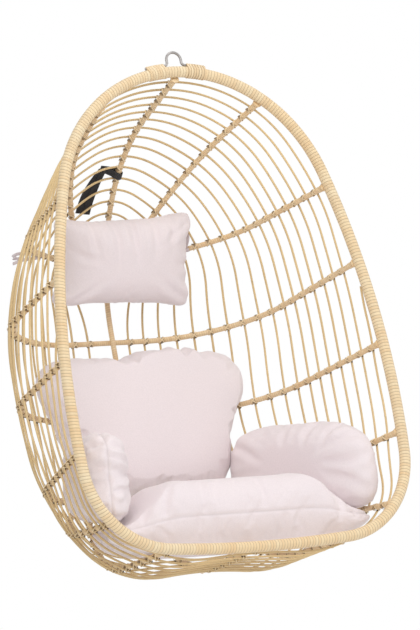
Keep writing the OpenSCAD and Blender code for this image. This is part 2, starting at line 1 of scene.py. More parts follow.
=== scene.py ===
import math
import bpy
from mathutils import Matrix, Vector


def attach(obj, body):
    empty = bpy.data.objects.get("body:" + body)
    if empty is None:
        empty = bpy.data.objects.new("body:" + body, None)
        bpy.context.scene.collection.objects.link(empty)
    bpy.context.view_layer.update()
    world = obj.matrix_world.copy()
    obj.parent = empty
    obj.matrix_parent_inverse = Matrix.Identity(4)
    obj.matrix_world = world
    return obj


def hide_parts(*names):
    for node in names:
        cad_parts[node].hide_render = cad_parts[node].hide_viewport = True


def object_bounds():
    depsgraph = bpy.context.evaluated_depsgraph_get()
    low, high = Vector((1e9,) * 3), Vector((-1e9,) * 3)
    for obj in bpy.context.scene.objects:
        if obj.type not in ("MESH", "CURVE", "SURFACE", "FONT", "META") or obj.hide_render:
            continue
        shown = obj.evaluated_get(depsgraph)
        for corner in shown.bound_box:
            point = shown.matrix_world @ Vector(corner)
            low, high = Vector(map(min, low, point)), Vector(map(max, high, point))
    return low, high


bl_info = {
    "name": "Hanging egg chair",
    "version": (1, 0, 0),
    "blender": (4, 5, 0),
    "location": "3D View > Sidebar > Egg chair",
    "description": "Wound, lashed and upholstered finish for the hanging egg chair",
    "category": "Object",
}

import bpy
import numpy as np
from bpy.props import FloatProperty, FloatVectorProperty, IntProperty, PointerProperty
from mathutils import Vector
from mathutils.bvhtree import BVHTree

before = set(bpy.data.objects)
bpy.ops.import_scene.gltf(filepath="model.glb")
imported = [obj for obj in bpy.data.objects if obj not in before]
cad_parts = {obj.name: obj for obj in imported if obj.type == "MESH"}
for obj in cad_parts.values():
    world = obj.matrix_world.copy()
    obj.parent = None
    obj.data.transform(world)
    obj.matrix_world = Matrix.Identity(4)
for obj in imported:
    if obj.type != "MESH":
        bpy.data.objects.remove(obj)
CAD_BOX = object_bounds()

# ---------------------------------------------------------------- the basket's own lines
# Lines are drawn in the rim's frame, in millimetres: x sideways, y depth behind the rim,
# z up the leaning rim plane from the middle of its bottom.
RIM_HEIGHT, RIM_WIDTH, WIDEST_AT = 1080.0, 810.0, 300.0
TOP_R, CORNER_R, BOTTOM_R = 340.0, 196.0, 2900.0
RIM_OUT = 12.4  # outside of the wound rim
RIB_R, CANE_R, LOOP_R = 6.0, 2.6, 3.0
GAP = 0.25  # left between parts that touch
FOOT_R = TOP_R + RIM_OUT + GAP + LOOP_R  # radius of the loop's feet round the rim's top arc
JOINT = 2 * RIB_R + GAP  # from one rib's axis to another's where they touch
LEAN = math.radians(20.6)
HOOK_SEAT = 1122.0  # height of the hook seat up the rim plane
# the spine: its straight run and drop behind the rim top, its dome, its bend and rise under the seat
SPINE_OFF, SPINE_RUN, SPINE_DROP, DOME_R = 11.0, 175.0, math.radians(13.5), 420.0
SEAT_BEND_R, SEAT_RISE = 290.0, math.radians(3.1)
HOOP_OFF = 4.0  # how far a hoop starts inside the rim's centre line
CANES = 17
# first and last cane along the spine, from the rim's top and from its bottom, and how they crowd
CANES_ABOVE, CANES_BELOW, FRONT_CANE_BELOW = (37, 518, 0.06), (84, 535, 0.2), 32
SHIFTED_CANES, CANE_SHIFT = (3, 9, 16), 0.9  # canes that sit a little nearer the rim
MIDDLE = np.array([0.0, 150.0, 500.0])  # a point inside the basket; outward is away from it
OTHER_SIDE = np.array([-1, 1, 1])  # turns a point into its mirror image
LASHING_IN = 0.95 + 1.4 + 1.5  # how far the turns of a lashing stand off a rib


def unit(v):
    """A direction of length one."""
    return v / np.linalg.norm(v)


def at_rest(p):
    """Points of the rim's frame, in mm, as points of the chair's frame, in metres."""
    p = np.asarray(p, float)
    z = p[..., 2] - HOOK_SEAT
    c, s = math.cos(LEAN), math.sin(LEAN)
    return np.stack([p[..., 0], c * p[..., 1] + s * z, c * z - s * p[..., 1]], -1) / 1000


SIDE_RISE = RIM_HEIGHT - TOP_R - WIDEST_AT
SIDE_R = (SIDE_RISE**2 + (RIM_WIDTH / 2) ** 2 - TOP_R**2) / (RIM_WIDTH - 2 * TOP_R)
SIDE_C = np.array([-(SIDE_R - RIM_WIDTH / 2), WIDEST_AT])
TOP_C = np.array([0, RIM_HEIGHT - TOP_R])
BOTTOM_C = np.array([0, BOTTOM_R])


def corner_centre():
    """Centre of the corner arc, which touches the side arc and the bottom arc."""
    apart = np.linalg.norm(BOTTOM_C - SIDE_C)
    towards = (BOTTOM_C - SIDE_C) / apart
    along = ((SIDE_R - CORNER_R) ** 2 - (BOTTOM_R - CORNER_R) ** 2 + apart * apart) / (2 * apart)
    across = math.sqrt((SIDE_R - CORNER_R) ** 2 - along * along)
    return SIDE_C + along * towards + across * np.array([towards[1], -towards[0]])


CORNER_C = corner_centre()


def bearing(centre, p):
    """Angle at which p is seen from centre."""
    return math.atan2(p[1] - centre[1], p[0] - centre[0])


def rim_points():
    """The rim's centre line as a closed run of points."""
    to_top = bearing(SIDE_C, TOP_C)
    to_side = bearing(SIDE_C, CORNER_C)
    to_corner = bearing(BOTTOM_C, CORNER_C)
    right = []
    for c, r, a, b in (
        (BOTTOM_C, BOTTOM_R, -math.pi / 2, to_corner),
        (CORNER_C, CORNER_R, to_corner, to_side),
        (SIDE_C, SIDE_R, to_side, to_top),
        (TOP_C, TOP_R, to_top, math.pi / 2),
    ):
        n = max(4, int(r * abs(b - a) / 3))
        turns = [a + (b - a) * i / n for i in range(n)]
        right += [(c[0] + r * math.cos(t), 0, c[1] + r * math.sin(t)) for t in turns]
    right.append((0, 0, RIM_HEIGHT))
    left = [(-x, y, z) for x, y, z in right[1:-1]]
    return right + left[::-1] + [right[0]]


def side_x(z):
    """Half width of the rim's centre line at height z, on its side arcs."""
    return math.sqrt(SIDE_R**2 - (z - WIDEST_AT) ** 2) + SIDE_C[0]


RUN_END = (SPINE_RUN * math.cos(SPINE_DROP), RIM_HEIGHT - SPINE_OFF - SPINE_RUN * math.sin(SPINE_DROP))
DOME_C = (RUN_END[0] - DOME_R * math.sin(SPINE_DROP), RUN_END[1] - DOME_R * math.cos(SPINE_DROP))
BACK_Y = DOME_C[0] + DOME_R
SEAT_RUN = (BACK_Y - SEAT_BEND_R * (1 - math.sin(SEAT_RISE))) / math.cos(SEAT_RISE)
BEND_C = (
    SEAT_RUN * math.cos(SEAT_RISE) - SEAT_BEND_R * math.sin(SEAT_RISE),
    SEAT_RUN * math.sin(SEAT_RISE) + SEAT_BEND_R * math.cos(SEAT_RISE),
)
DOME_LENGTH = SPINE_RUN + DOME_R * (math.pi / 2 - SPINE_DROP)
BEND_LENGTH = SEAT_RUN + SEAT_BEND_R * (math.pi / 2 - SEAT_RISE)


def outside_depth(z, off):
    """Depth of the spine's line at height z, moved outwards by off."""
    if z > DOME_C[1]:
        return DOME_C[0] + math.sqrt((DOME_R + off) ** 2 - (z - DOME_C[1]) ** 2)
    if z < BEND_C[1]:
        return BEND_C[0] + math.sqrt((SEAT_BEND_R + off) ** 2 - (z - BEND_C[1]) ** 2)
    return BACK_Y + off


def spine_top(s):
    """Point and direction of the spine, s along it from the top of the rim."""
    if s < SPINE_RUN:
        c, d = math.cos(SPINE_DROP), math.sin(SPINE_DROP)
        return np.array([0, s * c, RIM_HEIGHT - SPINE_OFF - s * d]), np.array([0, c, -d])
    t = SPINE_DROP + (s - SPINE_RUN) / DOME_R
    c, d = math.cos(t), math.sin(t)
    return np.array([0, DOME_C[0] + DOME_R * d, DOME_C[1] + DOME_R * c]), np.array([0, c, -d])


def spine_low(s):
    """Point and direction of the spine, s along it from the bottom of the rim."""
    if s < SEAT_RUN:
        c, d = math.cos(SEAT_RISE), math.sin(SEAT_RISE)
        return np.array([0, s * c, s * d]), np.array([0, c, d])
    t = SEAT_RISE + (s - SEAT_RUN) / SEAT_BEND_R
    c, d = math.cos(t), math.sin(t)
    return np.array([0, BEND_C[0] + SEAT_BEND_R * d, BEND_C[1] - SEAT_BEND_R * c]), np.array([0, c, d])


class Hoop:
    """Right half of a hoop: out from the rim, round a bend, and flat across the back."""

    def __init__(self, height, tilt, flare, bend, first, margin, crowd, front):
        self.height, self.tilt, self.flare, self.bend = height, math.radians(tilt), math.radians(flare), bend
        self.first, self.margin, self.crowd, self.front = first, margin, crowd, front
        depth = BACK_Y
        for _ in range(6):
            depth = outside_depth(height - depth * math.sin(self.tilt), JOINT) / math.cos(self.tilt)
        self.depth = depth
        self.run = (depth - bend * (1 - math.sin(self.flare))) / math.cos(self.flare)
        self.arc = bend * (math.pi / 2 - self.flare)
        self.flat = side_x(height) - HOOP_OFF - self.run * math.sin(self.flare) - bend * math.cos(self.flare)
        self.length = self.run + self.arc + self.flat

    def at(self, s):
        """Point and direction, s along the hoop from the rim."""
        a, run, r = self.flare, self.run, self.bend
        if s < run:
            x, y, dx, dy = HOOP_OFF + s * math.sin(a), s * math.cos(a), math.sin(a), math.cos(a)
        elif s < run + self.arc:
            t = a + (s - run) / r
            x = HOOP_OFF + run * math.sin(a) + r * (math.cos(a) - math.cos(t))
            y = run * math.cos(a) + r * (math.sin(t) - math.sin(a))
            dx, dy = math.sin(t), math.cos(t)
        else:
            x = HOOP_OFF + run * math.sin(a) + r * math.cos(a) + s - run - self.arc
            y, dx, dy = self.depth, 1.0, 0.0
        c, d = math.cos(self.tilt), math.sin(self.tilt)
        return (
            np.array([side_x(self.height) - x, y * c, self.height - y * d]),
            np.array([-dx, dy * c, -dy * d]),
        )

    def length_at(self, x):
        """How far along the hoop it is x from the middle plane."""
        if x < self.flat:
            return self.length - x
        q = side_x(self.height) - x - HOOP_OFF - self.run * math.sin(self.flare)
        return self.run + self.bend * (math.acos(math.cos(self.flare) - q / self.bend) - self.flare)


class SideRib:
    """A rib from the rim to a hoop: a straight run and one bend."""

    def __init__(self, start, off, run, angle, hoop, end_x, side, first, crowd, last, margin, front):
        self.off, self.run, self.angle = off, run, math.radians(angle)
        self.first, self.crowd, self.last, self.margin, self.front = first, crowd, last, margin, front
        self.start = start
        p = hoop.at(hoop.length_at(end_x))[0]
        if side > 0:
            slope = (p[2] - DOME_C[1]) / (p[1] - DOME_C[0])
        else:
            slope = (BEND_C[1] - p[2]) / (p[1] - BEND_C[0])
        end = np.array([p[0], p[1] - JOINT * slope, p[2] + side * JOINT])
        reach = np.array([end[0] - start[0], end[2] - start[1]])
        self.inward = unit(reach)
        self.bend_from = np.array([off + run * math.sin(self.angle), run * math.cos(self.angle)])
        c = np.array([np.linalg.norm(reach), end[1]]) - self.bend_from
        half = math.atan2(c[0], c[1]) - self.angle
        self.bend = np.linalg.norm(c) / (2 * math.sin(half))
        self.length = run + self.bend * 2 * half

    def at(self, s):
        """Point and direction, s along the rib from the rim."""
        a = self.angle
        if s < self.run:
            t, q = a, np.array([self.off + s * math.sin(a), s * math.cos(a)])
        else:
            t = a + (s - self.run) / self.bend
            q = self.bend_from + self.bend * np.array([math.cos(a) - math.cos(t), math.sin(t) - math.sin(a)])
        i = self.inward
        return (
            np.array([self.start[0] + q[0] * i[0], q[1], self.start[1] + q[0] * i[1]]),
            np.array([math.sin(t) * i[0], math.cos(t), math.sin(t) * i[1]]),
        )


# height on the rim, tilt, flare, bend radius, first cane, last cane's margin, crowding, front cane
HOOPS = [
    Hoop(806, 2.4, 10.6, 275, 46, 56, 0.05, 0),
    Hoop(628, 3.0, 6.6, 250, 65, 52, 0.0, 0),
    Hoop(440, 2.0, 8.2, 265, 84, 57, 0.05, 43),
    Hoop(236, 1.0, 13.0, 285, 87, 55, 0.0, 50),
]
SHOULDER_FROM_TOP = 36.6  # degrees round the rim's top arc
CORNER_TOWARDS = (352, 75)
BASE_FROM_MIDDLE = 220


def on_arc(centre, radius, turn):
    """The point of an arc at an angle."""
    return centre + radius * np.array([math.cos(turn), math.sin(turn)])


SHOULDER_AT = on_arc(TOP_C, TOP_R, math.radians(90 - SHOULDER_FROM_TOP))
CORNER_AT = on_arc(CORNER_C, CORNER_R, bearing(CORNER_C, CORNER_TOWARDS))
BASE_AT = np.array([BASE_FROM_MIDDLE, BOTTOM_R - math.sqrt(BOTTOM_R**2 - BASE_FROM_MIDDLE**2)])
# start, offset, run, angle, hoop it ends on, where, above or below it, first cane, crowding,
# last cane and its margin, front cane
SIDE_RIBS = [
    SideRib(SHOULDER_AT, 7, 150, 14, HOOPS[0], 60, 1, 40, 0.05, 16, 25, 0),
    SideRib(CORNER_AT, 2, 170, 11, HOOPS[3], 187, -1, 66, 0.05, 11, 70, 38),
    SideRib(BASE_AT, 0, 200, 4, HOOPS[3], 141, -1, 76, 0.05, 14, 46, 32),
]


def spaced(k, n, first, last, crowd):
    """Place of cane k among n, crowded towards the rim."""
    t = (k - 1) / (n - 1)
    return first + (last - first) * t * (1 + crowd * (1 - t))


def crossing(r, k):
    """Point and direction where cane k crosses rib r, and its length from the rim, or None.
    Ribs: 0 spine above, 1 shoulder, 2 to 5 hoops, 6 corner, 7 base, 8 spine below."""
    if r == 0:
        if k == 0:
            return None
        s, at = spaced(k, CANES, *CANES_ABOVE), spine_top
    elif r == 8:
        s, at = (FRONT_CANE_BELOW if k == 0 else spaced(k, CANES, *CANES_BELOW)), spine_low
    elif 2 <= r <= 5:
        h = HOOPS[r - 2]
        if k == 0 and r < 4:
            return None
        s = h.front if k == 0 else spaced(k, CANES, h.first, h.length - h.margin, h.crowd)
        at = h.at
    else:
        m = SIDE_RIBS[0 if r == 1 else r - 5]
        if k > m.last or (k == 0 and r == 1):
            return None
        s = m.front if k == 0 else spaced(k, m.last, m.first, m.length - m.margin, m.crowd)
        at = m.at
    if k in SHIFTED_CANES:
        s -= CANE_SHIFT
    p, t = at(s)
    return p, t, s


FRONT_HEIGHT = 575  # how high up the rim the front cane's ends are
FRONT_START = np.array([side_x(FRONT_HEIGHT) - 6, 14.5, FRONT_HEIGHT])


def cane_nodes(k):
    """Where cane k is tied, on the right half: centre, direction, rib, the rib's point and direction."""
    ties = [(r, crossing(r, k)) for r in range(9)]
    ties = [(r, c) for r, c in ties if c]
    nodes = []
    if k == 0:
        along = unit(ties[0][1][0] - FRONT_START)
        nodes.append((FRONT_START, along, -1, FRONT_START, np.array([0.0, 0, 1])))
    for i, (r, (p, t, _s)) in enumerate(ties):
        before = ties[i - 1][1][0] if i else FRONT_START
        if r == 0:
            along = np.array([1.0, 0, 0])
        elif r == 8:
            along = np.array([-1.0, 0, 0])
        else:
            a, b = p - before, ties[i + 1][1][0] - p
            along = unit(a / (a @ a) + b / (b @ b))
        out = unit(np.cross(along, t))
        out = -out if out @ (p - MIDDLE) < 0 else out
        nodes.append((p + out * (RIB_R + CANE_R + GAP), along, r, p, t))
    return nodes


def arc_to(a, along, b, step=6.0):
    """Points of the arc that leaves a in a direction and ends at b."""
    chord = b - a
    length = np.linalg.norm(chord)
    half = math.acos(min(1.0, max(-1.0, along @ chord / length)))
    if half < 1e-5:
        return [a + chord * i / 4 for i in range(4)]
    side = unit(chord - along * (along @ chord))
    r = length / (2 * math.sin(half))
    n = max(3, int(2 * half * r / step))
    turns = [2 * half * i / n for i in range(n)]
    return [a + along * r * math.sin(t) + side * r * (1 - math.cos(t)) for t in turns]


def cane_points(k):
    """Cane k's line, from end to end."""
    nodes, right = cane_nodes(k), []
    for (a, ta, *_), (b, tb, *_) in zip(nodes, nodes[1:]):
        v, t = b - a, ta + tb
        q = 2 * (1 - ta @ tb)
        if q < 1e-6:
            d = (v @ v) / (4 * (v @ ta))
        else:
            d = (-(v @ t) + math.sqrt((v @ t) ** 2 + q * (v @ v))) / q
        mid_a, mid_b = a + ta * d, b - tb * d
        j = (mid_a + mid_b) / 2
        right += arc_to(a, ta, j) + arc_to(j, unit(mid_b - mid_a), b)
    right.append(nodes[-1][0])
    left = [p * OTHER_SIDE for p in right]
    if k == 0:
        return right + left[::-1][1:]
    return left[::-1] + right[1:]


class Line:
    """A run of points with its lengths, directions and outward sides."""

    def __init__(self, points, closed=False, out=None):
        self.p = np.array(points, float)
        self.s = np.concatenate([[0], np.cumsum(np.linalg.norm(np.diff(self.p, axis=0), axis=1))])
        self.length = self.s[-1]
        self.t = np.gradient(self.p, self.s, axis=0)
        if closed:
            self.t[0] = self.t[-1] = self.t[0] + self.t[-1]
        self.t /= np.linalg.norm(self.t, axis=1)[:, None]
        away = self.p - MIDDLE if out is None else np.broadcast_to(np.asarray(out, float), self.p.shape)
        away = away - self.t * np.sum(away * self.t, axis=1)[:, None]
        self.out = away / np.linalg.norm(away, axis=1)[:, None]

    def at(self, s):
        """Centres, outward and sideways directions at the lengths s."""
        s = np.clip(s, 0, self.length)
        c, o, t = (
            np.stack([np.interp(s, self.s, a[:, i]) for i in range(3)], -1)
            for a in (self.p, self.out, self.t)
        )
        t /= np.linalg.norm(t, axis=-1)[..., None]
        o -= t * np.sum(o * t, axis=-1)[..., None]
        o /= np.linalg.norm(o, axis=-1)[..., None]
        return c, o, np.cross(t, o)


def from_at(at, length, step=4.0):
    """Points along a rib that is given by its at function."""
    n = max(2, int(length / step))
    return [at(length * i / n)[0] for i in range(n + 1)]


def mirrored(points):
    """A run of points on the other side of the middle plane, in the opposite order."""
    return [p * OTHER_SIDE for p in points][::-1]


# ---------------------------------------------------------------- settings
class WindingSettings(bpy.types.PropertyGroup):
    """Sizes of the peel wound round the rim, the ribs and the loop feet."""

    rim_turn: FloatProperty(
        name="Rim turn", description="Width of one turn of peel round the rim",
        default=0.0071, min=0.004, max=0.012, unit="LENGTH",
    )
    rib_turn: FloatProperty(
        name="Rib turn", description="Width of one turn of peel round a rib",
        default=0.0052, min=0.003, max=0.01, unit="LENGTH",
    )
    groove: FloatProperty(
        name="Groove", description="Depth of the groove between two turns on the rim",
        default=0.0005, min=0.0001, max=0.001, unit="LENGTH",
    )
    binding_turn: FloatProperty(
        name="Loop binding turn",
        description="Width of one turn of the binding round a loop foot",
        default=0.0068, min=0.004, max=0.01, unit="LENGTH",
    )


class LashingSettings(bpy.types.PropertyGroup):
    """Sizes of the strips that tie the canes to the ribs."""

    strip_width: FloatProperty(
        name="Strip width", description="Width of a lashing strip",
        default=0.0030, min=0.001, max=0.004, unit="LENGTH",
    )
    strip_thickness: FloatProperty(
        name="Strip thickness", description="Thickness of a lashing strip",
        default=0.0009, min=0.0004, max=0.0015, unit="LENGTH",
    )


class CushionSettings(bpy.types.PropertyGroup):
    """How the five cushions are filled and sewn."""

    pressure: FloatProperty(
        name="Pressure", description="How hard the filling pushes on the cover",
        default=4.0, min=0.0, max=20.0,
    )
    voxel: FloatProperty(
        name="Cloth cell", description="Size of the cells of the cloth",
        default=0.006, min=0.004, max=0.012, unit="LENGTH",
    )
    steps: IntProperty(
        name="Steps", description="Steps of the filling",
        default=20, min=5, max=40,
    )
    seam_depth: FloatProperty(
        name="Seam depth", description="How deep the seams draw the cover in",
        default=0.0026, min=0.0, max=0.008, unit="LENGTH",
    )


class FinishSettings(bpy.types.PropertyGroup):
    """Colours of the finishes."""

    rim_peel: FloatVectorProperty(
        name="Rim peel", description="Colour of the peel round the rim",
        default=(0.86, 0.69, 0.445), subtype="COLOR", min=0, max=1,
    )
    rib_peel: FloatVectorProperty(
        name="Rib peel", description="Colour of the peel round the ribs",
        default=(0.86, 0.66, 0.41), subtype="COLOR", min=0, max=1,
    )
    cane: FloatVectorProperty(
        name="Cane", description="Colour of the canes",
        default=(0.77, 0.565, 0.285), subtype="COLOR", min=0, max=1,
    )
    cloth: FloatVectorProperty(
        name="Cloth", description="Colour of the cushion covers",
        default=(0.855, 0.765, 0.78), subtype="COLOR", min=0, max=1,
    )
    steel: FloatVectorProperty(
        name="Steel", description="Colour of the hanging loop",
        default=(0.36, 0.34, 0.33), subtype="COLOR", min=0, max=1,
    )
    webbing: FloatVectorProperty(
        name="Webbing", description="Colour of the safety strap",
        default=(0.02, 0.02, 0.022), subtype="COLOR", min=0, max=1,
    )


class StageSettings(bpy.types.PropertyGroup):
    """The floor and the lights."""

    floor_below: FloatProperty(
        name="Floor below", description="How far the floor is below the chair",
        default=0.45, min=0.05, max=1.5, unit="LENGTH",
    )
    sky: FloatProperty(
        name="Sky", description="Strength of the light from all round",
        default=0.5, min=0.0, max=2.0,
    )
    key: FloatProperty(
        name="Key light", description="Power of the large front light in watts",
        default=128.0, min=0.0, max=2000.0,
    )


class ChairSettings(bpy.types.PropertyGroup):
    """All settings of the chair."""

    winding: PointerProperty(type=WindingSettings)
    lashing: PointerProperty(type=LashingSettings)
    cushion: PointerProperty(type=CushionSettings)
    finish: PointerProperty(type=FinishSettings)
    stage: PointerProperty(type=StageSettings)


def settings():
    """The chair's settings in this scene."""
    return bpy.context.scene.egg_chair


# ---------------------------------------------------------------- making pieces
def clear_selection():
    """Object mode with nothing selected."""
    if bpy.context.object and bpy.context.object.mode != "OBJECT":
        bpy.ops.object.mode_set(mode="OBJECT")
    bpy.ops.object.select_all(action="DESELECT")


def only(obj):
    """Makes obj the one selected and active object."""
    clear_selection()
    obj.select_set(True)
    bpy.context.view_layer.objects.active = obj


def close_up(obj, merge=1e-6):
    """Welds a mesh where it meets itself and turns its faces outwards."""
    only(obj)
    bpy.ops.object.mode_set(mode="EDIT")
    bpy.ops.mesh.select_all(action="SELECT")
    bpy.ops.mesh.remove_doubles(threshold=merge)
    bpy.ops.mesh.normals_make_consistent(inside=False)
    bpy.ops.object.mode_set(mode="OBJECT")


def coordinates(obj):
    """An object's vertex places as an array."""
    co = np.empty(len(obj.data.vertices) * 3, np.float32)
    obj.data.vertices.foreach_get("co", co)
    return co.reshape(-1, 3).astype(float)


def set_coordinates(obj, co):
    """Moves an object's vertices."""
    obj.data.vertices.foreach_set("co", co.astype(np.float32).ravel())
    obj.data.update()


def attribute(obj, name, values):
    """Gives every vertex of an object a value that its finish reads."""
    layer = obj.data.attributes.new(name, "FLOAT", "POINT")
    layer.data.foreach_set("value", np.asarray(values, np.float32))


def joined(pieces, name):
    """Several pieces joined into the first one."""
    only(pieces[0])
    for piece in pieces[1:]:
        piece.select_set(True)
    bpy.ops.object.join()
    pieces[0].name = pieces[0].data.name = name
    return pieces[0]


def shut(*values):
    """Values for each ring of a rod with its first and last ring doubled: the lengths as they are,
    then each radius with a nought at both ends, so that the rod's ends close."""
    lengths, *radii = values
    closed = [np.concatenate([[lengths[0]], lengths, [lengths[-1]]])]
    return closed + [np.concatenate([[0], r, [0]]) for r in radii]


def rolled(name, line, lengths, section, sides, uv_round=None, marks=None):
    """A grid rolled round a line into a closed rod, with the places of its painted shade at the ties marked.
    section gives the outward and sideways offsets and the slide along the line, for each ring's
    number and length and each angle round the rod."""
    rings = len(lengths)
    clear_selection()
    bpy.ops.mesh.primitive_grid_add(x_subdivisions=rings - 1, y_subdivisions=sides, size=1)
    obj = bpy.context.object
    obj.name = obj.data.name = name
    mesh = obj.data
    co = coordinates(obj)
    i = np.rint((co[:, 0] + 0.5) * (rings - 1)).astype(int)
    j = np.rint((co[:, 1] + 0.5) * sides).astype(int)
    angle = 2 * math.pi * (j % sides) / sides
    s = np.asarray(lengths, float)[i]
    out, sideways, slide = section(i, s, angle)
    c, o, b = line.at(s + slide)
    set_coordinates(obj, at_rest(c + o * out[:, None] + b * sideways[:, None]))
    uv = np.empty(len(mesh.loops) * 2, np.float32)
    mesh.uv_layers[0].data.foreach_get("uv", uv)
    uv = uv.reshape(-1, 2)
    along = np.asarray(lengths, float)[np.rint(uv[:, 0] * (rings - 1)).astype(int)] / 1000
    if uv_round is None:
        uv_round = 2 * math.pi * float(np.median(np.hypot(out, sideways)))
    around = uv[:, 1] * uv_round / 1000
    mesh.uv_layers[0].data.foreach_set("uv", np.stack([along, around], -1).astype(np.float32).ravel())
    # painted shade: the rod is darkened near each tie, where shade falls between cane and rib
    if marks is not None:
        near = np.zeros(len(s))
        for m, width in marks:
            near = np.maximum(near, np.exp(-(((s - m) / width) ** 2)))
        attribute(obj, "painted_tie_shade", near)
    close_up(obj)
    bpy.ops.object.shade_smooth()
    return obj


RIB_GROOVE = 0.3  # depth of the groove between two turns on a rib
TIE_SHADE_HALF_WIDTH = 4.2  # half width of the painted shade at a tie, along a rib
CANE_TIE_SHADE_HALF_WIDTH = 4.5  # and along a cane


def wound_lengths(start, end, turn, steps=(0.0, 0.13, 0.5, 0.87)):
    """Ring places along a winding, with each ring's place in its turn."""
    turns = max(1, round((end - start) / turn))
    width = (end - start) / turns
    lengths = [start + width * (n + f) for n in range(turns) for f in steps] + [end]
    place = [f for n in range(turns) for f in steps] + [0.0]
    return np.array(lengths), np.array(place)


def rod_section(radii, slant=0.0):
    """Offsets of a round rod with a radius for each ring, its turns slanting by a length."""
    radii = np.asarray(radii, float)

    def section(i, s, angle):
        r = radii[i]
        return r * np.cos(angle), r * np.sin(angle), slant * np.cos(angle + 0.6) * (r > 0)

    return section


def wound_rib(name, line, start, end, radius, marks):
    """A rib closely wound with flat peel."""
    turn = settings().winding.rib_turn * 1000
    lengths, place = wound_lengths(start, end, turn)
    lengths, radii = shut(lengths, radius - RIB_GROOVE * (place == 0))
    return rolled(name, line, lengths, rod_section(radii, turn / 4), 14, marks=marks)


def finished(obj, material, replaces=()):
    """Gives a piece its finish and its place in the chair."""
    obj.data.materials.clear()
    obj.data.materials.append(material)
    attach(obj, "root")
    if replaces:
        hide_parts(*replaces)
    return obj


# ---------------------------------------------------------------- node groups and finishes
def new_group(name, inputs, outputs):
    """An empty shader node group with named sockets."""
    group = bpy.data.node_groups.new(name, "ShaderNodeTree")
    for label, kind, default in inputs:
        socket = group.interface.new_socket(label, in_out="INPUT", socket_type=kind)
        if default is not None:
            socket.default_value = default
    for label, kind in outputs:
        group.interface.new_socket(label, in_out="OUTPUT", socket_type=kind)
    return group, group.nodes.new("NodeGroupInput"), group.nodes.new("NodeGroupOutput")


def node(tree, kind, links=(), **values):
    """A node with its settings, its input values and its links."""
    made = tree.nodes.new(kind)
    for key, value in values.items():
        if key.startswith("in_"):
            made.inputs[int(key[3:])].default_value = value
        else:
            setattr(made, key, value)
    for target, source in links:
        tree.links.new(source, made.inputs[target])
    return made


def math_node(tree, operation, a, b=0.5, clamp=False):
    """A math node whose inputs are sockets or numbers; returns its output."""
    made = tree.nodes.new("ShaderNodeMath")
    made.operation, made.use_clamp = operation, clamp
    for index, value in ((0, a), (1, b)):
        if isinstance(value, (int, float)):
            made.inputs[index].default_value = value
        else:
            tree.links.new(value, made.inputs[index])
    return made.outputs[0]


def ramp_node(tree, source, stops):
    """A colour ramp fed by a value; stops are (place, grey or colour)."""
    made = tree.nodes.new("ShaderNodeValToRGB")
    elements = made.color_ramp.elements
    while len(elements) < len(stops):
        elements.new(0.5)
    for element, (place, colour) in zip(elements, stops):
        element.position = place
        element.color = (colour,) * 3 + (1,) if isinstance(colour, (int, float)) else (*colour, 1)
    tree.links.new(source, made.inputs[0])
    return made.outputs[0]


def mix_node(tree, share, a, b, blend="MIX"):
    """A colour mix; share, a and b are sockets or values."""
    made = tree.nodes.new("ShaderNodeMix")
    made.data_type, made.blend_type = "RGBA", blend
    for index, value in ((0, share), (6, a), (7, b)):
        if isinstance(value, bpy.types.NodeSocket):
            tree.links.new(value, made.inputs[index])
        elif index == 0:
            made.inputs[0].default_value = value
        else:
            made.inputs[index].default_value = (*value, 1) if len(value) == 3 else value
    return made.outputs[2]


def group_of(tree, name, links=(), **values):
    """A placed node group; values are given by socket name with _ for a space."""
    made = tree.nodes.new("ShaderNodeGroup")
    made.node_tree = bpy.data.node_groups[name]
    for key, value in values.items():
        made.inputs[key.replace("_", " ")].default_value = value
    for target, source in links:
        tree.links.new(source, made.inputs[target])
    return made


def build_fibre_grain():
    """Grain: long fine fibres that run along a cane or a strip of peel."""
    group, given, result = new_group(
        "fibre_grain",
        [
            ("Vector", "NodeSocketVector", None),
            ("Fibre Length", "NodeSocketFloat", 18.0),
            ("Fibre Width", "NodeSocketFloat", 900.0),
        ],
        [("Tone", "NodeSocketFloat"), ("Height", "NodeSocketFloat")],
    )
    apart = node(group, "ShaderNodeSeparateXYZ", [(0, given.outputs["Vector"])])
    x = math_node(group, "MULTIPLY", apart.outputs[0], given.outputs["Fibre Length"])
    y = math_node(group, "MULTIPLY", apart.outputs[1], given.outputs["Fibre Width"])
    together = node(group, "ShaderNodeCombineXYZ", [(0, x), (1, y)])
    fine = node(group, "ShaderNodeTexNoise", [("Vector", together.outputs[0])])
    fine.inputs["Scale"].default_value = 1.0
    fine.inputs["Detail"].default_value = 3.0
    fine.inputs["Roughness"].default_value = 0.6
    group.links.new(fine.outputs[0], result.inputs["Tone"])
    group.links.new(fine.outputs[0], result.inputs["Height"])


def build_wound_turns():
    """Turns: which turn of a winding a point is on, and how near it is to the groove between two."""
    group, given, result = new_group(
        "wound_turns",
        [
            ("Vector", "NodeSocketVector", None),
            ("Turn", "NodeSocketFloat", 0.007),
            ("Groove Share", "NodeSocketFloat", 0.12),
        ],
        [("Tone", "NodeSocketFloat"), ("Groove", "NodeSocketFloat")],
    )
    apart = node(group, "ShaderNodeSeparateXYZ", [(0, given.outputs["Vector"])])
    turns = math_node(group, "DIVIDE", apart.outputs[0], given.outputs["Turn"])
    number = math_node(group, "FLOOR", turns, 0.0)
    tone = node(group, "ShaderNodeTexWhiteNoise", [("W", number)], noise_dimensions="1D")
    place = math_node(group, "FRACT", turns, 0.0)
    from_edge = math_node(group, "PINGPONG", place, 0.5)
    near = math_node(group, "DIVIDE", from_edge, given.outputs["Groove Share"])
    near = math_node(group, "MINIMUM", near, 1.0)
    near = math_node(group, "SUBTRACT", 1.0, near, clamp=True)
    group.links.new(tone.outputs[0], result.inputs["Tone"])
    group.links.new(near, result.inputs["Groove"])


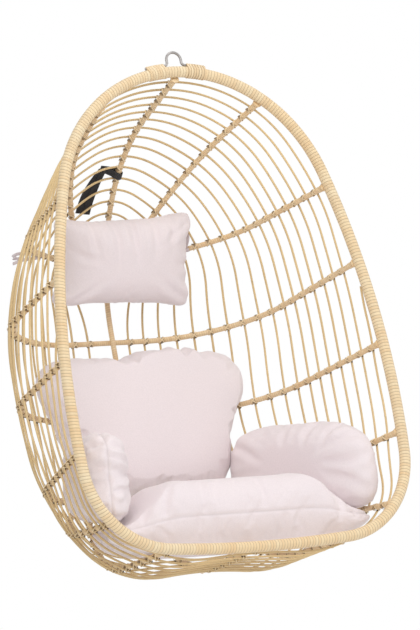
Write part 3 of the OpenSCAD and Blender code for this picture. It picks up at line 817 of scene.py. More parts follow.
def build_natural_tone():
    """Tone: slow changes of colour over the whole chair, with small darker flecks."""
    group, given, result = new_group(
        "natural_tone",
        [
            ("Vector", "NodeSocketVector", None),
            ("Patch Size", "NodeSocketFloat", 6.0),
            ("Fleck Size", "NodeSocketFloat", 160.0),
        ],
        [("Tone", "NodeSocketFloat"), ("Flecks", "NodeSocketFloat")],
    )
    place, patch, fleck = (given.outputs[name] for name in ("Vector", "Patch Size", "Fleck Size"))
    slow = node(group, "ShaderNodeTexNoise", [("Vector", place), ("Scale", patch)])
    slow.inputs["Detail"].default_value = 2.0
    flecks = node(group, "ShaderNodeTexNoise", [("Vector", place), ("Scale", fleck)])
    flecks.inputs["Detail"].default_value = 1.0
    marks = math_node(group, "SUBTRACT", flecks.outputs[0], 0.62, clamp=True)
    marks = math_node(group, "MULTIPLY", marks, 4.0, clamp=True)
    group.links.new(slow.outputs[0], result.inputs["Tone"])
    group.links.new(marks, result.inputs["Flecks"])


def build_woven_cloth():
    """Weave: crossing threads on any face of a soft piece, and the slubs in them."""
    group, given, result = new_group(
        "woven_cloth",
        [
            ("Vector", "NodeSocketVector", None),
            ("Normal", "NodeSocketVector", None),
            ("Thread", "NodeSocketFloat", 0.0011),
        ],
        [("Height", "NodeSocketFloat"), ("Slubs", "NodeSocketFloat")],
    )
    place = node(group, "ShaderNodeSeparateXYZ", [(0, given.outputs["Vector"])])
    facing = node(group, "ShaderNodeSeparateXYZ", [(0, given.outputs["Normal"])])
    waves = []
    for axis in range(3):
        turns = math_node(group, "DIVIDE", place.outputs[axis], given.outputs["Thread"])
        turns = math_node(group, "MULTIPLY", turns, 2 * math.pi)
        wave = math_node(group, "SINE", turns, 0.0)
        along = math_node(group, "ABSOLUTE", facing.outputs[axis], 0.0)
        share = math_node(group, "SUBTRACT", 1.0, along, clamp=True)
        waves.append(math_node(group, "MULTIPLY", wave, share))
    height = math_node(group, "ADD", math_node(group, "ADD", waves[0], waves[1]), waves[2])
    slubs = node(group, "ShaderNodeTexNoise", [("Vector", given.outputs["Vector"])])
    slubs.inputs["Scale"].default_value = 420.0
    slubs.inputs["Detail"].default_value = 2.0
    group.links.new(height, result.inputs["Height"])
    group.links.new(slubs.outputs[0], result.inputs["Slubs"])


def principled(name, roughness, **sockets):
    """A material with its shader, and the shader's plain values set on its own sockets."""
    material = bpy.data.materials.new(name)
    material.use_nodes = True
    tree = material.node_tree
    shader = next(n for n in tree.nodes if n.type == "BSDF_PRINCIPLED")
    shader.inputs["Roughness"].default_value = roughness
    for key, value in sockets.items():
        shader.inputs[key.replace("_", " ")].default_value = value
    return material, tree, shader


def bump(tree, shader, height, strength, distance):
    """A bump from a height."""
    made = tree.nodes.new("ShaderNodeBump")
    made.inputs["Strength"].default_value = strength
    made.inputs["Distance"].default_value = distance
    tree.links.new(height, made.inputs["Height"])
    tree.links.new(made.outputs[0], shader.inputs["Normal"])


def shade(colour, factor, warm=0.0):
    """A lighter or darker version of a colour."""
    r, g, b = colour[:3]
    return (min(1, r * factor * (1 + warm)), min(1, g * factor), min(1, b * factor * (1 - warm)))


def peel_finish(name, colour, turn, painted_groove_shade, spread, roughness=0.5, groove_share=0.16):
    """Flat peel wound in turns: a tone for each turn, fibres round the rod, painted shade in the grooves and
    at the ties.
    """
    material, tree, shader = principled(name, roughness, Coat_Weight=0.12, Coat_Roughness=0.35)
    place = node(tree, "ShaderNodeTexCoord")
    on_rod, where = ("Vector", place.outputs["UV"]), ("Vector", place.outputs["Object"])
    turns = group_of(tree, "wound_turns", [on_rod], Turn=turn, Groove_Share=groove_share)
    grain = group_of(tree, "fibre_grain", [on_rod], Fibre_Length=1400.0, Fibre_Width=60.0)
    tone = group_of(tree, "natural_tone", [where], Patch_Size=7.0, Fleck_Size=220.0)
    lighter, darker = shade(colour, 1 + spread, -0.03), shade(colour, 1 - spread, 0.05)
    base = mix_node(tree, turns.outputs["Tone"], lighter, darker)
    patches = ramp_node(tree, tone.outputs["Tone"], [(0.32, (1, 0.93, 0.84)), (0.66, (1, 1, 1))])
    base = mix_node(tree, 1.0, base, patches, "MULTIPLY")
    fibres = ramp_node(tree, grain.outputs["Tone"], [(0.3, 0.86), (0.7, 1.06)])
    base = mix_node(tree, 1.0, base, fibres, "MULTIPLY")
    painted_tie_shade = node(tree, "ShaderNodeAttribute", attribute_name="painted_tie_shade")
    # painted shade in the grooves between turns
    dark = math_node(tree, "MULTIPLY", turns.outputs["Groove"], painted_groove_shade)
    base = mix_node(tree, dark, base, shade(colour, 0.42, 0.12))
    # painted shade at the ties, where shade falls between rib, cane and strips
    deep = math_node(tree, "MULTIPLY", painted_tie_shade.outputs["Fac"], 0.82)
    base = mix_node(tree, deep, base, shade(colour, 0.16, 0.2))
    flecks = math_node(tree, "MULTIPLY", tone.outputs["Flecks"], 0.35)
    base = mix_node(tree, flecks, base, shade(colour, 0.6, 0.1))
    tree.links.new(base, shader.inputs["Base Color"])
    rough = ramp_node(tree, grain.outputs["Tone"], [(0.2, roughness - 0.08), (0.8, roughness + 0.12)])
    tree.links.new(rough, shader.inputs["Roughness"])
    height = math_node(tree, "SUBTRACT", grain.outputs["Height"], turns.outputs["Groove"])
    bump(tree, shader, height, 0.35, 0.0004)
    return material


def cane_finish(name, colour, roughness=0.48, painted_tie_shade_dark=0.55):
    """Peeled cane: fibres along it, slow changes of tone, and painted shade by its ties."""
    material, tree, shader = principled(name, roughness, Coat_Weight=0.1, Coat_Roughness=0.4)
    place = node(tree, "ShaderNodeTexCoord")
    on_cane, where = ("Vector", place.outputs["UV"]), ("Vector", place.outputs["Object"])
    grain = group_of(tree, "fibre_grain", [on_cane], Fibre_Length=14.0, Fibre_Width=1100.0)
    tone = group_of(tree, "natural_tone", [where], Patch_Size=5.0, Fleck_Size=90.0)
    base = mix_node(tree, tone.outputs["Tone"], shade(colour, 1.18, -0.02), shade(colour, 0.80, 0.04))
    fibres = ramp_node(tree, grain.outputs["Tone"], [(0.3, 0.80), (0.7, 1.08)])
    base = mix_node(tree, 1.0, base, fibres, "MULTIPLY")
    flecks = math_node(tree, "MULTIPLY", tone.outputs["Flecks"], 0.5)
    base = mix_node(tree, flecks, base, shade(colour, 0.5, 0.1))
    # painted shade: darker by the ties, and near black on the dark lumps of a lashing
    painted_tie_shade = node(tree, "ShaderNodeAttribute", attribute_name="painted_tie_shade")
    deep = math_node(tree, "MULTIPLY", painted_tie_shade.outputs["Fac"], painted_tie_shade_dark)
    base = mix_node(tree, deep, base, shade(colour, 0.08, 0.3))
    tree.links.new(base, shader.inputs["Base Color"])
    rough = ramp_node(tree, grain.outputs["Tone"], [(0.2, roughness - 0.08), (0.8, roughness + 0.14)])
    tree.links.new(rough, shader.inputs["Roughness"])
    bump(tree, shader, grain.outputs["Height"], 0.3, 0.0003)
    return material


def cloth_finish(name, colour, thread, roughness=0.88):
    """Plain woven cotton: crossing threads, slubs, a soft change of tone over a cover, and painted shade
    along its seam.
    """
    material, tree, shader = principled(name, roughness, Sheen_Weight=0.25, Sheen_Roughness=0.5)
    place = node(tree, "ShaderNodeTexCoord")
    where, facing = ("Vector", place.outputs["Object"]), ("Normal", place.outputs["Normal"])
    weave = group_of(tree, "woven_cloth", [where, facing], Thread=thread)
    tone = group_of(tree, "natural_tone", [where], Patch_Size=3.5, Fleck_Size=500.0)
    base = mix_node(tree, tone.outputs["Tone"], shade(colour, 1.03, 0.012), shade(colour, 0.96, -0.01))
    slubs = ramp_node(tree, weave.outputs["Slubs"], [(0.3, 0.955), (0.7, 1.02)])
    base = mix_node(tree, 1.0, base, slubs, "MULTIPLY")
    # painted shade along the seam, where the cover is drawn in
    seam = node(tree, "ShaderNodeAttribute", attribute_name="seam")
    seam_shade = math_node(tree, "MULTIPLY", seam.outputs["Fac"], 0.32)
    base = mix_node(tree, seam_shade, base, shade(colour, 0.62, 0.04))
    tree.links.new(base, shader.inputs["Base Color"])
    dull = min(1.0, roughness + 0.08)
    rough = ramp_node(tree, weave.outputs["Slubs"], [(0.2, roughness - 0.06), (0.8, dull)])
    tree.links.new(rough, shader.inputs["Roughness"])
    bump(tree, shader, weave.outputs["Height"], 0.12, 0.0002)
    return material


def steel_finish(name, colour):
    """Drawn steel rod with fine scratches and slightly duller patches."""
    material, tree, shader = principled(name, 0.38, Metallic=0.85)
    place = node(tree, "ShaderNodeTexCoord")
    where = ("Vector", place.outputs["Object"])
    tone = group_of(tree, "natural_tone", [where], Patch_Size=40.0, Fleck_Size=600.0)
    base = mix_node(tree, tone.outputs["Tone"], shade(colour, 1.2), shade(colour, 0.8))
    base = mix_node(tree, tone.outputs["Flecks"], base, shade(colour, 0.5))
    tree.links.new(base, shader.inputs["Base Color"])
    rough = ramp_node(tree, tone.outputs["Tone"], [(0.3, 0.3), (0.7, 0.5)])
    tree.links.new(rough, shader.inputs["Roughness"])
    scratches = node(tree, "ShaderNodeTexNoise", [where])
    scratches.inputs["Scale"].default_value = 1500.0
    bump(tree, shader, scratches.outputs[0], 0.08, 0.0001)
    return material


def webbing_finish(name, colour):
    """Woven strap: ribs across it and a herringbone along it."""
    material, tree, shader = principled(name, 0.7)
    uv = node(tree, "ShaderNodeTexCoord")
    apart = node(tree, "ShaderNodeSeparateXYZ", [(0, uv.outputs["UV"])])
    waves = []
    for axis, rib in ((0, 0.0016), (1, 0.0024)):
        turns = math_node(tree, "MULTIPLY", apart.outputs[axis], 2 * math.pi / rib)
        waves.append(math_node(tree, "SINE", turns, 0.0))
    height = math_node(tree, "MULTIPLY", *waves)
    share = math_node(tree, "MULTIPLY_ADD", height, 0.5)
    tone = ramp_node(tree, share, [(0.1, shade(colour, 0.7)), (0.9, shade(colour, 2.2))])
    tree.links.new(tone, shader.inputs["Base Color"])
    rough = ramp_node(tree, share, [(0.0, 0.6), (1.0, 0.82)])
    tree.links.new(rough, shader.inputs["Roughness"])
    bump(tree, shader, height, 0.4, 0.0003)
    return material


def rim_line():
    """The rim's centre line, its outward side to the front."""
    return Line(rim_points(), closed=True, out=(0, -1, 0))


def rim_turn():
    """Width of a turn on the rim, in metres, for which a whole number of turns goes round it."""
    length = rim_line().length
    return length / max(1, round(length / (settings().winding.rim_turn * 1000))) / 1000


def binding_turn():
    """Width of a turn of the loop's binding, in metres, on the rim's centre line."""
    return settings().winding.binding_turn * TOP_R / FOOT_R


FINISH_MAKERS = {
    "rim_peel": lambda look: peel_finish("rim_peel", look.rim_peel, rim_turn(), 1.0, 0.07, 0.46, 0.13),
    "rib_peel": lambda look: peel_finish("rib_peel", look.rib_peel, settings().winding.rib_turn, 0.5, 0.07),
    "binding_peel": lambda look: peel_finish(
        "binding_peel", shade(look.rim_peel, 0.96, 0.02), binding_turn(), 1.0, 0.08
    ),
    "lashing_peel": lambda look: cane_finish("lashing_peel", shade(look.rib_peel, 1.04), 0.5, 1.0),
    "cane": lambda look: cane_finish("cane_skin", look.cane, 0.48, 0.45),
    "cloth": lambda look: cloth_finish("cotton_cover", look.cloth, 0.0011),
    "ribbon": lambda look: cloth_finish("cotton_ribbon", shade(look.cloth, 0.86), 0.0007),
    "steel": lambda look: steel_finish("loop_steel", look.steel),
    "webbing": lambda look: webbing_finish("strap_webbing", look.webbing),
}
FINISHES = {}


def finish_of(key):
    """The finish of that name, built on first use."""
    if key not in FINISHES:
        FINISHES[key] = FINISH_MAKERS[key](settings().finish)
    return FINISHES[key]


def carried_over(name, key):
    """Gives a piece that is kept as it is in the frame its finish."""
    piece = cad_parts[name]
    piece.data.materials.clear()
    piece.data.materials.append(finish_of(key))


# ---------------------------------------------------------------- operators
class EGGCHAIR_OT_finishes(bpy.types.Operator):
    """Builds the shared node groups of the finishes"""

    bl_idname = "egg_chair.finishes"
    bl_label = "Finishes"

    def execute(self, context):
        build_fibre_grain()
        build_wound_turns()
        build_natural_tone()
        build_woven_cloth()
        return {"FINISHED"}


RIM_SLANT = 1.9  # how far a turn runs along the rim on its way round it


def rim_section(radii, whole):
    """Offsets of the rim's turns; the line closes on itself, so the slant runs round the joint."""
    section = rod_section(radii, RIM_SLANT)

    def wrapped(i, s, angle):
        out, sideways, slide = section(i, s, angle)
        return out, sideways, np.mod(s + slide, whole) - s

    return wrapped


class EGGCHAIR_OT_rim(bpy.types.Operator):
    """Winds the rim with flat peel"""

    bl_idname = "egg_chair.rim"
    bl_label = "Rim"

    def execute(self, context):
        wind = settings().winding
        line = rim_line()
        lengths, place = wound_lengths(0, line.length, wind.rim_turn * 1000)
        radii = RIM_OUT - wind.groove * 1000 * (place == 0)
        rim = rolled("rim_winding", line, lengths, rim_section(radii, line.length), 24)
        finished(rim, finish_of("rim_peel"), ("rim_binding",))
        carried_over("rim_pole", "cane")
        return {"FINISHED"}


def painted_shade_at_ties(r, whole=None):
    """Lengths along a rib at which canes are tied, with the width of the painted shade there.
    A hoop's marks are given for its whole length, with those of its other half."""
    marks = []
    for k in range(CANES + 1):
        tie = crossing(r, k)
        if tie:
            marks.append((tie[2], TIE_SHADE_HALF_WIDTH))
            if whole:
                marks.append((whole - tie[2], TIE_SHADE_HALF_WIDTH))
    return marks


# how far from the rim's centre line the windings of hoops and side ribs start; a side rib's stops
# short of its hoop and is a little thinner
HOOP_FROM, SIDE_RIB_FROM, SIDE_RIB_SHORT, SIDE_RIB_THINNER = 9, 11, 0.5, 0.1


class EGGCHAIR_OT_ribs(bpy.types.Operator):
    """Winds the spine, the hoops and the side ribs"""

    bl_idname = "egg_chair.ribs"
    bl_label = "Ribs"

    def execute(self, context):
        self.spine()
        for name, r in (("upper_hoop", 2), ("middle_hoop", 3), ("lower_hoop", 4), ("seat_hoop", 5)):
            right = from_at(HOOPS[r - 2].at, HOOPS[r - 2].length)
            line = Line(right[:-1] + mirrored(right))
            end, marks = line.length - HOOP_FROM, painted_shade_at_ties(r, line.length)
            hoop = wound_rib(f"{name}_winding", line, HOOP_FROM, end, RIB_R, marks)
            finished(hoop, finish_of("rib_peel"), (name,))
        for name, index, r in (("shoulder_rib", 0, 1), ("corner_rib", 1, 6), ("base_rib", 2, 7)):
            rib = SIDE_RIBS[index]
            right = from_at(rib.at, rib.length)
            for side, points in (("right", right), ("left", [p * OTHER_SIDE for p in right])):
                line, end = Line(points), rib.length - SIDE_RIB_SHORT
                radius, marks = RIB_R - SIDE_RIB_THINNER, painted_shade_at_ties(r)
                piece = wound_rib(f"{name}_winding_{side}", line, SIDE_RIB_FROM, end, radius, marks)
                finished(piece, finish_of("rib_peel"), (f"{name}_{side}",))
        return {"FINISHED"}

    def spine(self):
        """Winds the spine: down the back, and from the bottom of the rim up to it."""
        down = from_at(spine_top, DOME_LENGTH)
        up = from_at(spine_low, BEND_LENGTH)[::-1]
        wall = [down[-1] + (up[0] - down[-1]) * i / 30 for i in range(1, 30)]
        line = Line(down + wall + up)
        marks = painted_shade_at_ties(0) + [(line.length - length, width) for length, width in painted_shade_at_ties(8)]
        start = RIM_OUT - 1
        spine = wound_rib("spine_winding", line, start, line.length - start, RIB_R, marks)
        finished(spine, finish_of("rib_peel"), ("spine",))


JOINT_STEP, JOINT_SWELL, JOINT_WIDTH = 285.0, 0.22, 2.6  # a cane's natural joints: how far apart, how thick


def cane_radii(lengths, joints, k):
    """A cane's thickness along it: slow changes, and a swelling at each natural joint."""
    near = np.min(np.abs(lengths[:, None] - joints[None, :]), axis=1)
    slow = CANE_R * (0.985 + 0.02 * np.sin(lengths / 61.0 + k))
    return slow + JOINT_SWELL * np.exp(-((near / JOINT_WIDTH) ** 2))


class EGGCHAIR_OT_canes(bpy.types.Operator):
    """Lays the canes round the ribs, with their natural joints and small changes of thickness"""

    bl_idname = "egg_chair.canes"
    bl_label = "Canes"

    def execute(self, context):
        grown = np.random.default_rng(17)
        for k in range(CANES + 1):
            line = Line(cane_points(k))
            joints = np.arange(grown.uniform(60, 260), line.length, JOINT_STEP) + grown.uniform(-20, 20)
            rings = [np.arange(0, line.length, 9.0), joints - 3, joints, joints + 3, [line.length]]
            lengths = np.unique(np.concatenate(rings))
            lengths = lengths[(lengths >= 0) & (lengths <= line.length)]
            lengths, radii = shut(lengths, cane_radii(lengths, joints, k))
            # painted shade on the cane beside each tie
            marks = []
            for p, *_ in cane_nodes(k)[1 if k == 0 else 0 :]:
                for side in (1, -1):
                    tie = np.argmin(np.linalg.norm(line.p - p * [side, 1, 1], axis=1))
                    marks.append((line.s[tie], CANE_TIE_SHADE_HALF_WIDTH))
            name = "front_cane" if k == 0 else f"cane_{k:02d}"
            cane = rolled(f"{name}_skin", line, lengths, rod_section(radii), 8, marks=marks)
            finished(cane, finish_of("cane"), (name,))
        return {"FINISHED"}


def taken_apart(obj):
    """A small shape's points and faces; the shape itself is removed."""
    co = coordinates(obj)
    faces = np.array([list(p.vertices) for p in obj.data.polygons])
    bpy.data.objects.remove(obj)
    return co, faces


def placed(shape, at, x, y, z):
    """A shape's points with its origin at a place and its axes along three directions."""
    return at + x * shape[:, :1] + y * shape[:, 1:2] + z * shape[:, 2:3]


# how far a strip stays off what it ties, and how much wider than round the rib and the cane are
# along its slanting way
STRIP_OFF, RIB_OVAL, CANE_OVAL = 0.1, 1.38, 1.5
# how far apart in the grain two strips that follow each other start, round and along, in metres
GRAIN_APART = (0.061, 0.0137)


def strip_round(steps, width, thickness):
    """One strip bent round a rib and a cane, from a torus: its points as (out, across, along) in mm,
    and its faces."""
    clear_selection()
    bpy.ops.mesh.primitive_torus_add(
        major_segments=steps, minor_segments=4, major_radius=1.0, minor_radius=0.25
    )
    co, faces = taken_apart(bpy.context.object)
    around = np.arctan2(co[:, 1], co[:, 0])
    reach = np.hypot(co[:, 0], co[:, 1]) - 1.0
    corner = np.rint(np.mod(np.arctan2(co[:, 2], reach), 2 * math.pi) / (math.pi / 2)).astype(int) % 4
    # corners of the strip: crown, one edge, inside, the other edge
    lift = np.array([thickness, 0.25 * thickness, 0.0, 0.25 * thickness])[corner]
    across = np.array([0.0, width / 2, 0.0, -width / 2])[corner]
    c, s = np.cos(around), np.sin(around)
    rib, cane = RIB_R + STRIP_OFF, CANE_R + STRIP_OFF
    rib_wide, cane_wide = rib * RIB_OVAL, cane * CANE_OVAL
    centre = RIB_R + CANE_R + GAP
    rib_reach = np.hypot(rib * c, rib_wide * s)
    cane_reach = np.hypot(cane * c, cane_wide * s)
    on_rib = np.stack([rib**2 * c, rib_wide**2 * s], -1) / rib_reach[:, None]
    on_cane = np.stack([centre + cane**2 * c / cane_reach, cane_wide**2 * s / cane_reach], -1)
    path = np.where((centre * c + cane_reach > rib_reach)[:, None], on_cane, on_rib)
    place = path + np.stack([c, s], -1) * lift[:, None]
    return np.stack([place[:, 0], place[:, 1], across], -1), faces


def shadow_lump(long, thick):
    """A small lump that stands in for the shadowed hole at a tie, painted dark as shade: its points in mm,
    long axis last, and its faces.
    """
    clear_selection()
    bpy.ops.mesh.primitive_ico_sphere_add(subdivisions=1, radius=1)
    co, faces = taken_apart(bpy.context.object)
    return co * [thick / 2, thick / 2, long / 2], faces


class Pile:
    """Many small shapes gathered into one piece, with each one's grain and how dark its painted shade is."""

    def __init__(self):
        self.points, self.faces, self.uvs, self.dark, self.count = [], [], [], [], 0

    def add(self, shape, faces, place, side, darkness):
        """Adds a shape whose points go to place, or to its mirror image."""
        self.faces.extend(((faces if side == 1 else faces[:, ::-1]) + self.count).tolist())
        self.points.append(place * [side, 1, 1])
        self.count += len(place)
        number = len(self.points)
        around = np.arctan2(shape[:, 1], shape[:, 0] - (0 if darkness else 3)) * 0.009
        along = shape[:, 2] / 1000
        self.uvs.append(np.stack([around, along], -1) + number * np.array(GRAIN_APART))
        self.dark.append(np.full(len(shape), darkness))

    def made(self, name):
        """The pile as one piece."""
        mesh = bpy.data.meshes.new(name)
        mesh.from_pydata(at_rest(np.concatenate(self.points)).tolist(), [], self.faces)
        obj = bpy.data.objects.new(name, mesh)
        bpy.context.collection.objects.link(obj)
        corner = np.empty(len(mesh.loops), int)
        mesh.loops.foreach_get("vertex_index", corner)
        layer = mesh.uv_layers.new(name="strip")
        layer.data.foreach_set("uv", np.concatenate(self.uvs)[corner].astype(np.float32).ravel())
        attribute(obj, "painted_tie_shade", np.concatenate(self.dark))
        close_up(obj, 1e-7)
        bpy.ops.object.shade_smooth_by_angle(angle=math.radians(50))
        return obj


def tie(pile, tied, strip, lift, inner, outer, node_of_cane, side):
    """One tie of a cane to a rib: two crossing strips, and two dark lumps of painted shade inside and
    outside, where the holes by the tie lie in shadow.
    """
    centre, along, _rib, p, t = node_of_cane
    out = unit(centre - p)
    aside = np.cross(out, t)
    for turn, raised in ((1, 0.0), (-1, lift)):
        d = unit(t + turn * aside)
        if abs(along @ d) >= 0.95:  # this strip would run along the cane
            continue
        n = np.cross(out, d)
        slip = tied.uniform(-0.5, 0.5)
        reach = 1 + raised / 9.0
        pile.add(*strip, placed(strip[0] * [reach, reach, 1], p + n * slip, out, d, n), side, 0.0)
    # painted shade: a long dark lump beside the rib, and a short one in the corner of rib and cane
    d = unit(t + tied.uniform(-0.2, 0.2) * aside)
    inside = p + out * 3.0 + aside * (RIB_R + 0.7) + t * (5.0 + tied.uniform(-0.8, 0.8))
    pile.add(*inner, placed(inner[0], inside, out, np.cross(out, d), d), side, 0.7)
    outside = p + out * (RIB_R + 0.4) - aside * (RIB_R - 0.4) - t * (CANE_R + 0.8)
    pile.add(*outer, placed(outer[0], outside, out, aside, t), side, 1.0)


INNER_SHADOW_LUMP, OUTER_SHADOW_LUMP = (9.0, 2.6), (5.4, 4.4)  # length and thickness of the dark lumps of painted shade beside a tie
# each group of lashings and the ribs it is on, numbered as in crossing
LASHED_RIBS = {
    "spine_lashings": (0, 8),
    "shoulder_lashings": (1,),
    "upper_hoop_lashings": (2,),
    "middle_hoop_lashings": (3,),
    "lower_hoop_lashings": (4,),
    "seat_hoop_lashings": (5,),
    "corner_lashings": (6,),
    "base_lashings": (7,),
}


class EGGCHAIR_OT_lashings(bpy.types.Operator):
    """Ties every cane to every rib that it crosses with two crossing strips, with dark lumps of painted
    shade beside each tie
    """

    bl_idname = "egg_chair.lashings"
    bl_label = "Lashings"

    def execute(self, context):
        sizes = settings().lashing
        thickness = sizes.strip_thickness * 1000
        strip = strip_round(16, sizes.strip_width * 1000, thickness)
        inner, outer = shadow_lump(*INNER_SHADOW_LUMP), shadow_lump(*OUTER_SHADOW_LUMP)
        tied = np.random.default_rng(5)
        for name, ribs in LASHED_RIBS.items():
            pile = Pile()
            for k in range(CANES + 1):
                for crossed in cane_nodes(k):
                    r = crossed[2]
                    if r in ribs:
                        for side in (1,) if r in (0, 8) else (1, -1):
                            tie(pile, tied, strip, thickness * 0.8, inner, outer, crossed, side)
            finished(pile.made(f"{name}_strips"), finish_of("lashing_peel"), (name,))
        return {"FINISHED"}


def rib_ends():
    """Where each rib leaves the rim: its line from there, and its mirror image's."""
    steps = range(0, 60, 3)
    ends = [[spine_top(s)[0] for s in steps], [spine_low(s)[0] for s in steps]]
    for rib in [*HOOPS, *SIDE_RIBS]:
        right = [rib.at(s)[0] for s in steps]
        ends += [right, [p * OTHER_SIDE for p in right]]
    return ends


# the windings of the rib ends: where one starts and stops along its rib, and the width of a turn;
# how thick the peel is on the rib, and how far the winding flares out over which length at the rim
END_FROM, END_TO, END_TURN = 9.5, 31, 3.1
END_PEEL, FLARE_OUT, FLARE_TO, FLARE_OVER = 1.0, 3.2, 24, 14


class EGGCHAIR_OT_rib_ends(bpy.types.Operator):
    """Binds each rib to the rim with a winding that flares out against it"""

    bl_idname = "egg_chair.rib_ends"
    bl_label = "Rib ends"

    def execute(self, context):
        made = []
        for points in rib_ends():
            lengths, place = wound_lengths(END_FROM, END_TO, END_TURN, (0.0, 0.2, 0.5, 0.8))
            flare = np.clip((FLARE_TO - lengths) / FLARE_OVER, 0, 1) ** 2
            groove = 0.55 * (place == 0) + 0.1 * (place > 0) * np.abs(place - 0.5)
            lengths, radii = shut(lengths, RIB_R + END_PEEL + FLARE_OUT * flare - groove)
            made.append(rolled("rib_end", Line(points), lengths, rod_section(radii, 0.9), 16))
        piece = joined(made, "rib_end_bindings")
        finished(piece, finish_of("rib_peel"), ("rib_end_windings",))
        return {"FINISHED"}


LOOP_HALF, LOOP_BEND, FOOT_LENGTH = 18, 8, 50  # half the loop's width, the bend into its feet, their length


def foot_section(grow, stay):
    """Offsets of a binding round the rim and the loop foot on it: how far the peel stands off them at
    each ring, and nought where a ring is drawn together."""
    reach = FOOT_R - TOP_R

    def section(i, s, angle):
        big, small = RIM_OUT + grow[i], LOOP_R + grow[i]
        over = reach * np.cos(angle) + small > big
        out = np.where(over, reach + small * np.cos(angle), big * np.cos(angle))
        sideways = np.where(over, small * np.sin(angle), big * np.sin(angle))
        return out * stay[i], sideways * stay[i], 0.5 * np.cos(angle + 0.8) * stay[i]

    return section


class EGGCHAIR_OT_loop(bpy.types.Operator):
    """Finishes the hanging loop and binds its feet to the rim"""

    bl_idname = "egg_chair.loop"
    bl_label = "Hanging loop"

    def execute(self, context):
        carried_over("hanging_loop", "steel")
        bend_x = LOOP_HALF + LOOP_BEND
        first = math.atan2(math.sqrt((FOOT_R + LOOP_BEND) ** 2 - bend_x**2), bend_x)
        start = first - math.radians(0.4)
        end = first - FOOT_LENGTH / FOOT_R + math.radians(0.2)
        middle = np.array([0, 0, TOP_C[1]])
        made = []
        for side in (1, -1):
            turns = [start + (end - start) * i / 24 for i in range(25)]
            points = [middle + TOP_R * np.array([side * math.cos(t), 0, math.sin(t)]) for t in turns]
            line = Line(points, out=(0, 0, 1))
            line.out = np.stack([unit(p - middle) for p in points])
            lengths, place = wound_lengths(0, line.length, binding_turn() * 1000, (0.0, 0.18, 0.5, 0.82))
            grow = GAP + 1.3 - 1.1 * (place == 0) + 0.1 * (place == 0.5)
            lengths, grow, stay = shut(lengths, grow, np.ones(len(grow)))
            made.append(rolled("foot", line, lengths, foot_section(grow, stay), 40))
        piece = joined(made, "loop_foot_bindings")
        finished(piece, finish_of("binding_peel"), ("loop_windings",))
        return {"FINISHED"}


def flat_section(width, thickness):
    """Offsets of a flat strip, rounded at its edges, given for each ring."""
    width, thickness = np.asarray(width, float), np.asarray(thickness, float)

    def section(i, s, angle):
        w, t = width[i] / 2, thickness[i] / 2
        c, d = np.cos(angle), np.sin(angle)
        return t * np.sign(c) * np.abs(c) ** 0.6, w * np.sign(d) * np.abs(d) ** 0.35, np.zeros_like(w)

    return section


def flat_strip(name, points, out, width, thickness, sides=12, step=3.0):
    """A flat strip of webbing or ribbon along a line, its flat side facing out, and its length."""
    line = Line(points)
    away = np.asarray(out, float)
    away = away - line.t * np.sum(away * line.t, axis=1)[:, None]
    line.out = away / np.linalg.norm(away, axis=1)[:, None]
    n = max(4, int(line.length / step))
    lengths = np.linspace(0, line.length, n + 1)
    wide = np.interp(lengths, line.s, np.broadcast_to(np.asarray(width, float), line.s.shape))
    lengths, wide, thick = shut(lengths, wide, np.full(n + 1, float(thickness)))
    section = flat_section(wide, thick)
    return rolled(name, line, lengths, section, sides, uv_round=2 * float(np.max(wide))), line.length


def through(knots, n):
    """Points of a smooth curve that runs through the given ones, n to each span."""
    p = np.array(knots, float)
    p = np.concatenate([[2 * p[0] - p[1]], p, [2 * p[-1] - p[-2]]])
    run = []
    for a, b, c, d in zip(p, p[1:], p[2:], p[3:]):
        for i in range(n):
            u = i / n
            bend, twist = 2 * a - 5 * b + 4 * c - d, 3 * b - a - 3 * c + d
            run.append(0.5 * (2 * b + (c - a) * u + bend * u**2 + twist * u**3))
    return run + [p[-2]]


# the strap: the canes it goes between, and in mm the thickness of a layer, the width of its fold,
# and that of its tails where they start, at their widest and over all
STRAP_CANES = (11, 12)
LAYER, FOLD_WIDTH, TAIL_START, TAIL_WIDEST, TAIL_WIDTH = 1.1, 17, 11, 21, 19
# ways of the strap: the fold as (aside, out from the spine's axis), the tails as (aside, down the back)
FOLD_WAY = [
    (-37, 18), (-26, 14.5), (-15, 5.5), (-9, -3.5), (0, -9.6), (7.6, -5.5),
    (9.6, 2), (6.5, 10), (-2, 15.4), (-16, 18.6), (-37, 20.2),
]
TAIL_WAYS = [
    [(-26, -2), (-33, 18), (-40, 42), (-46, 70), (-51, 104)],
    [(-36, -5), (-47, 20), (-57, 46), (-65, 72), (-70, 100)],
]


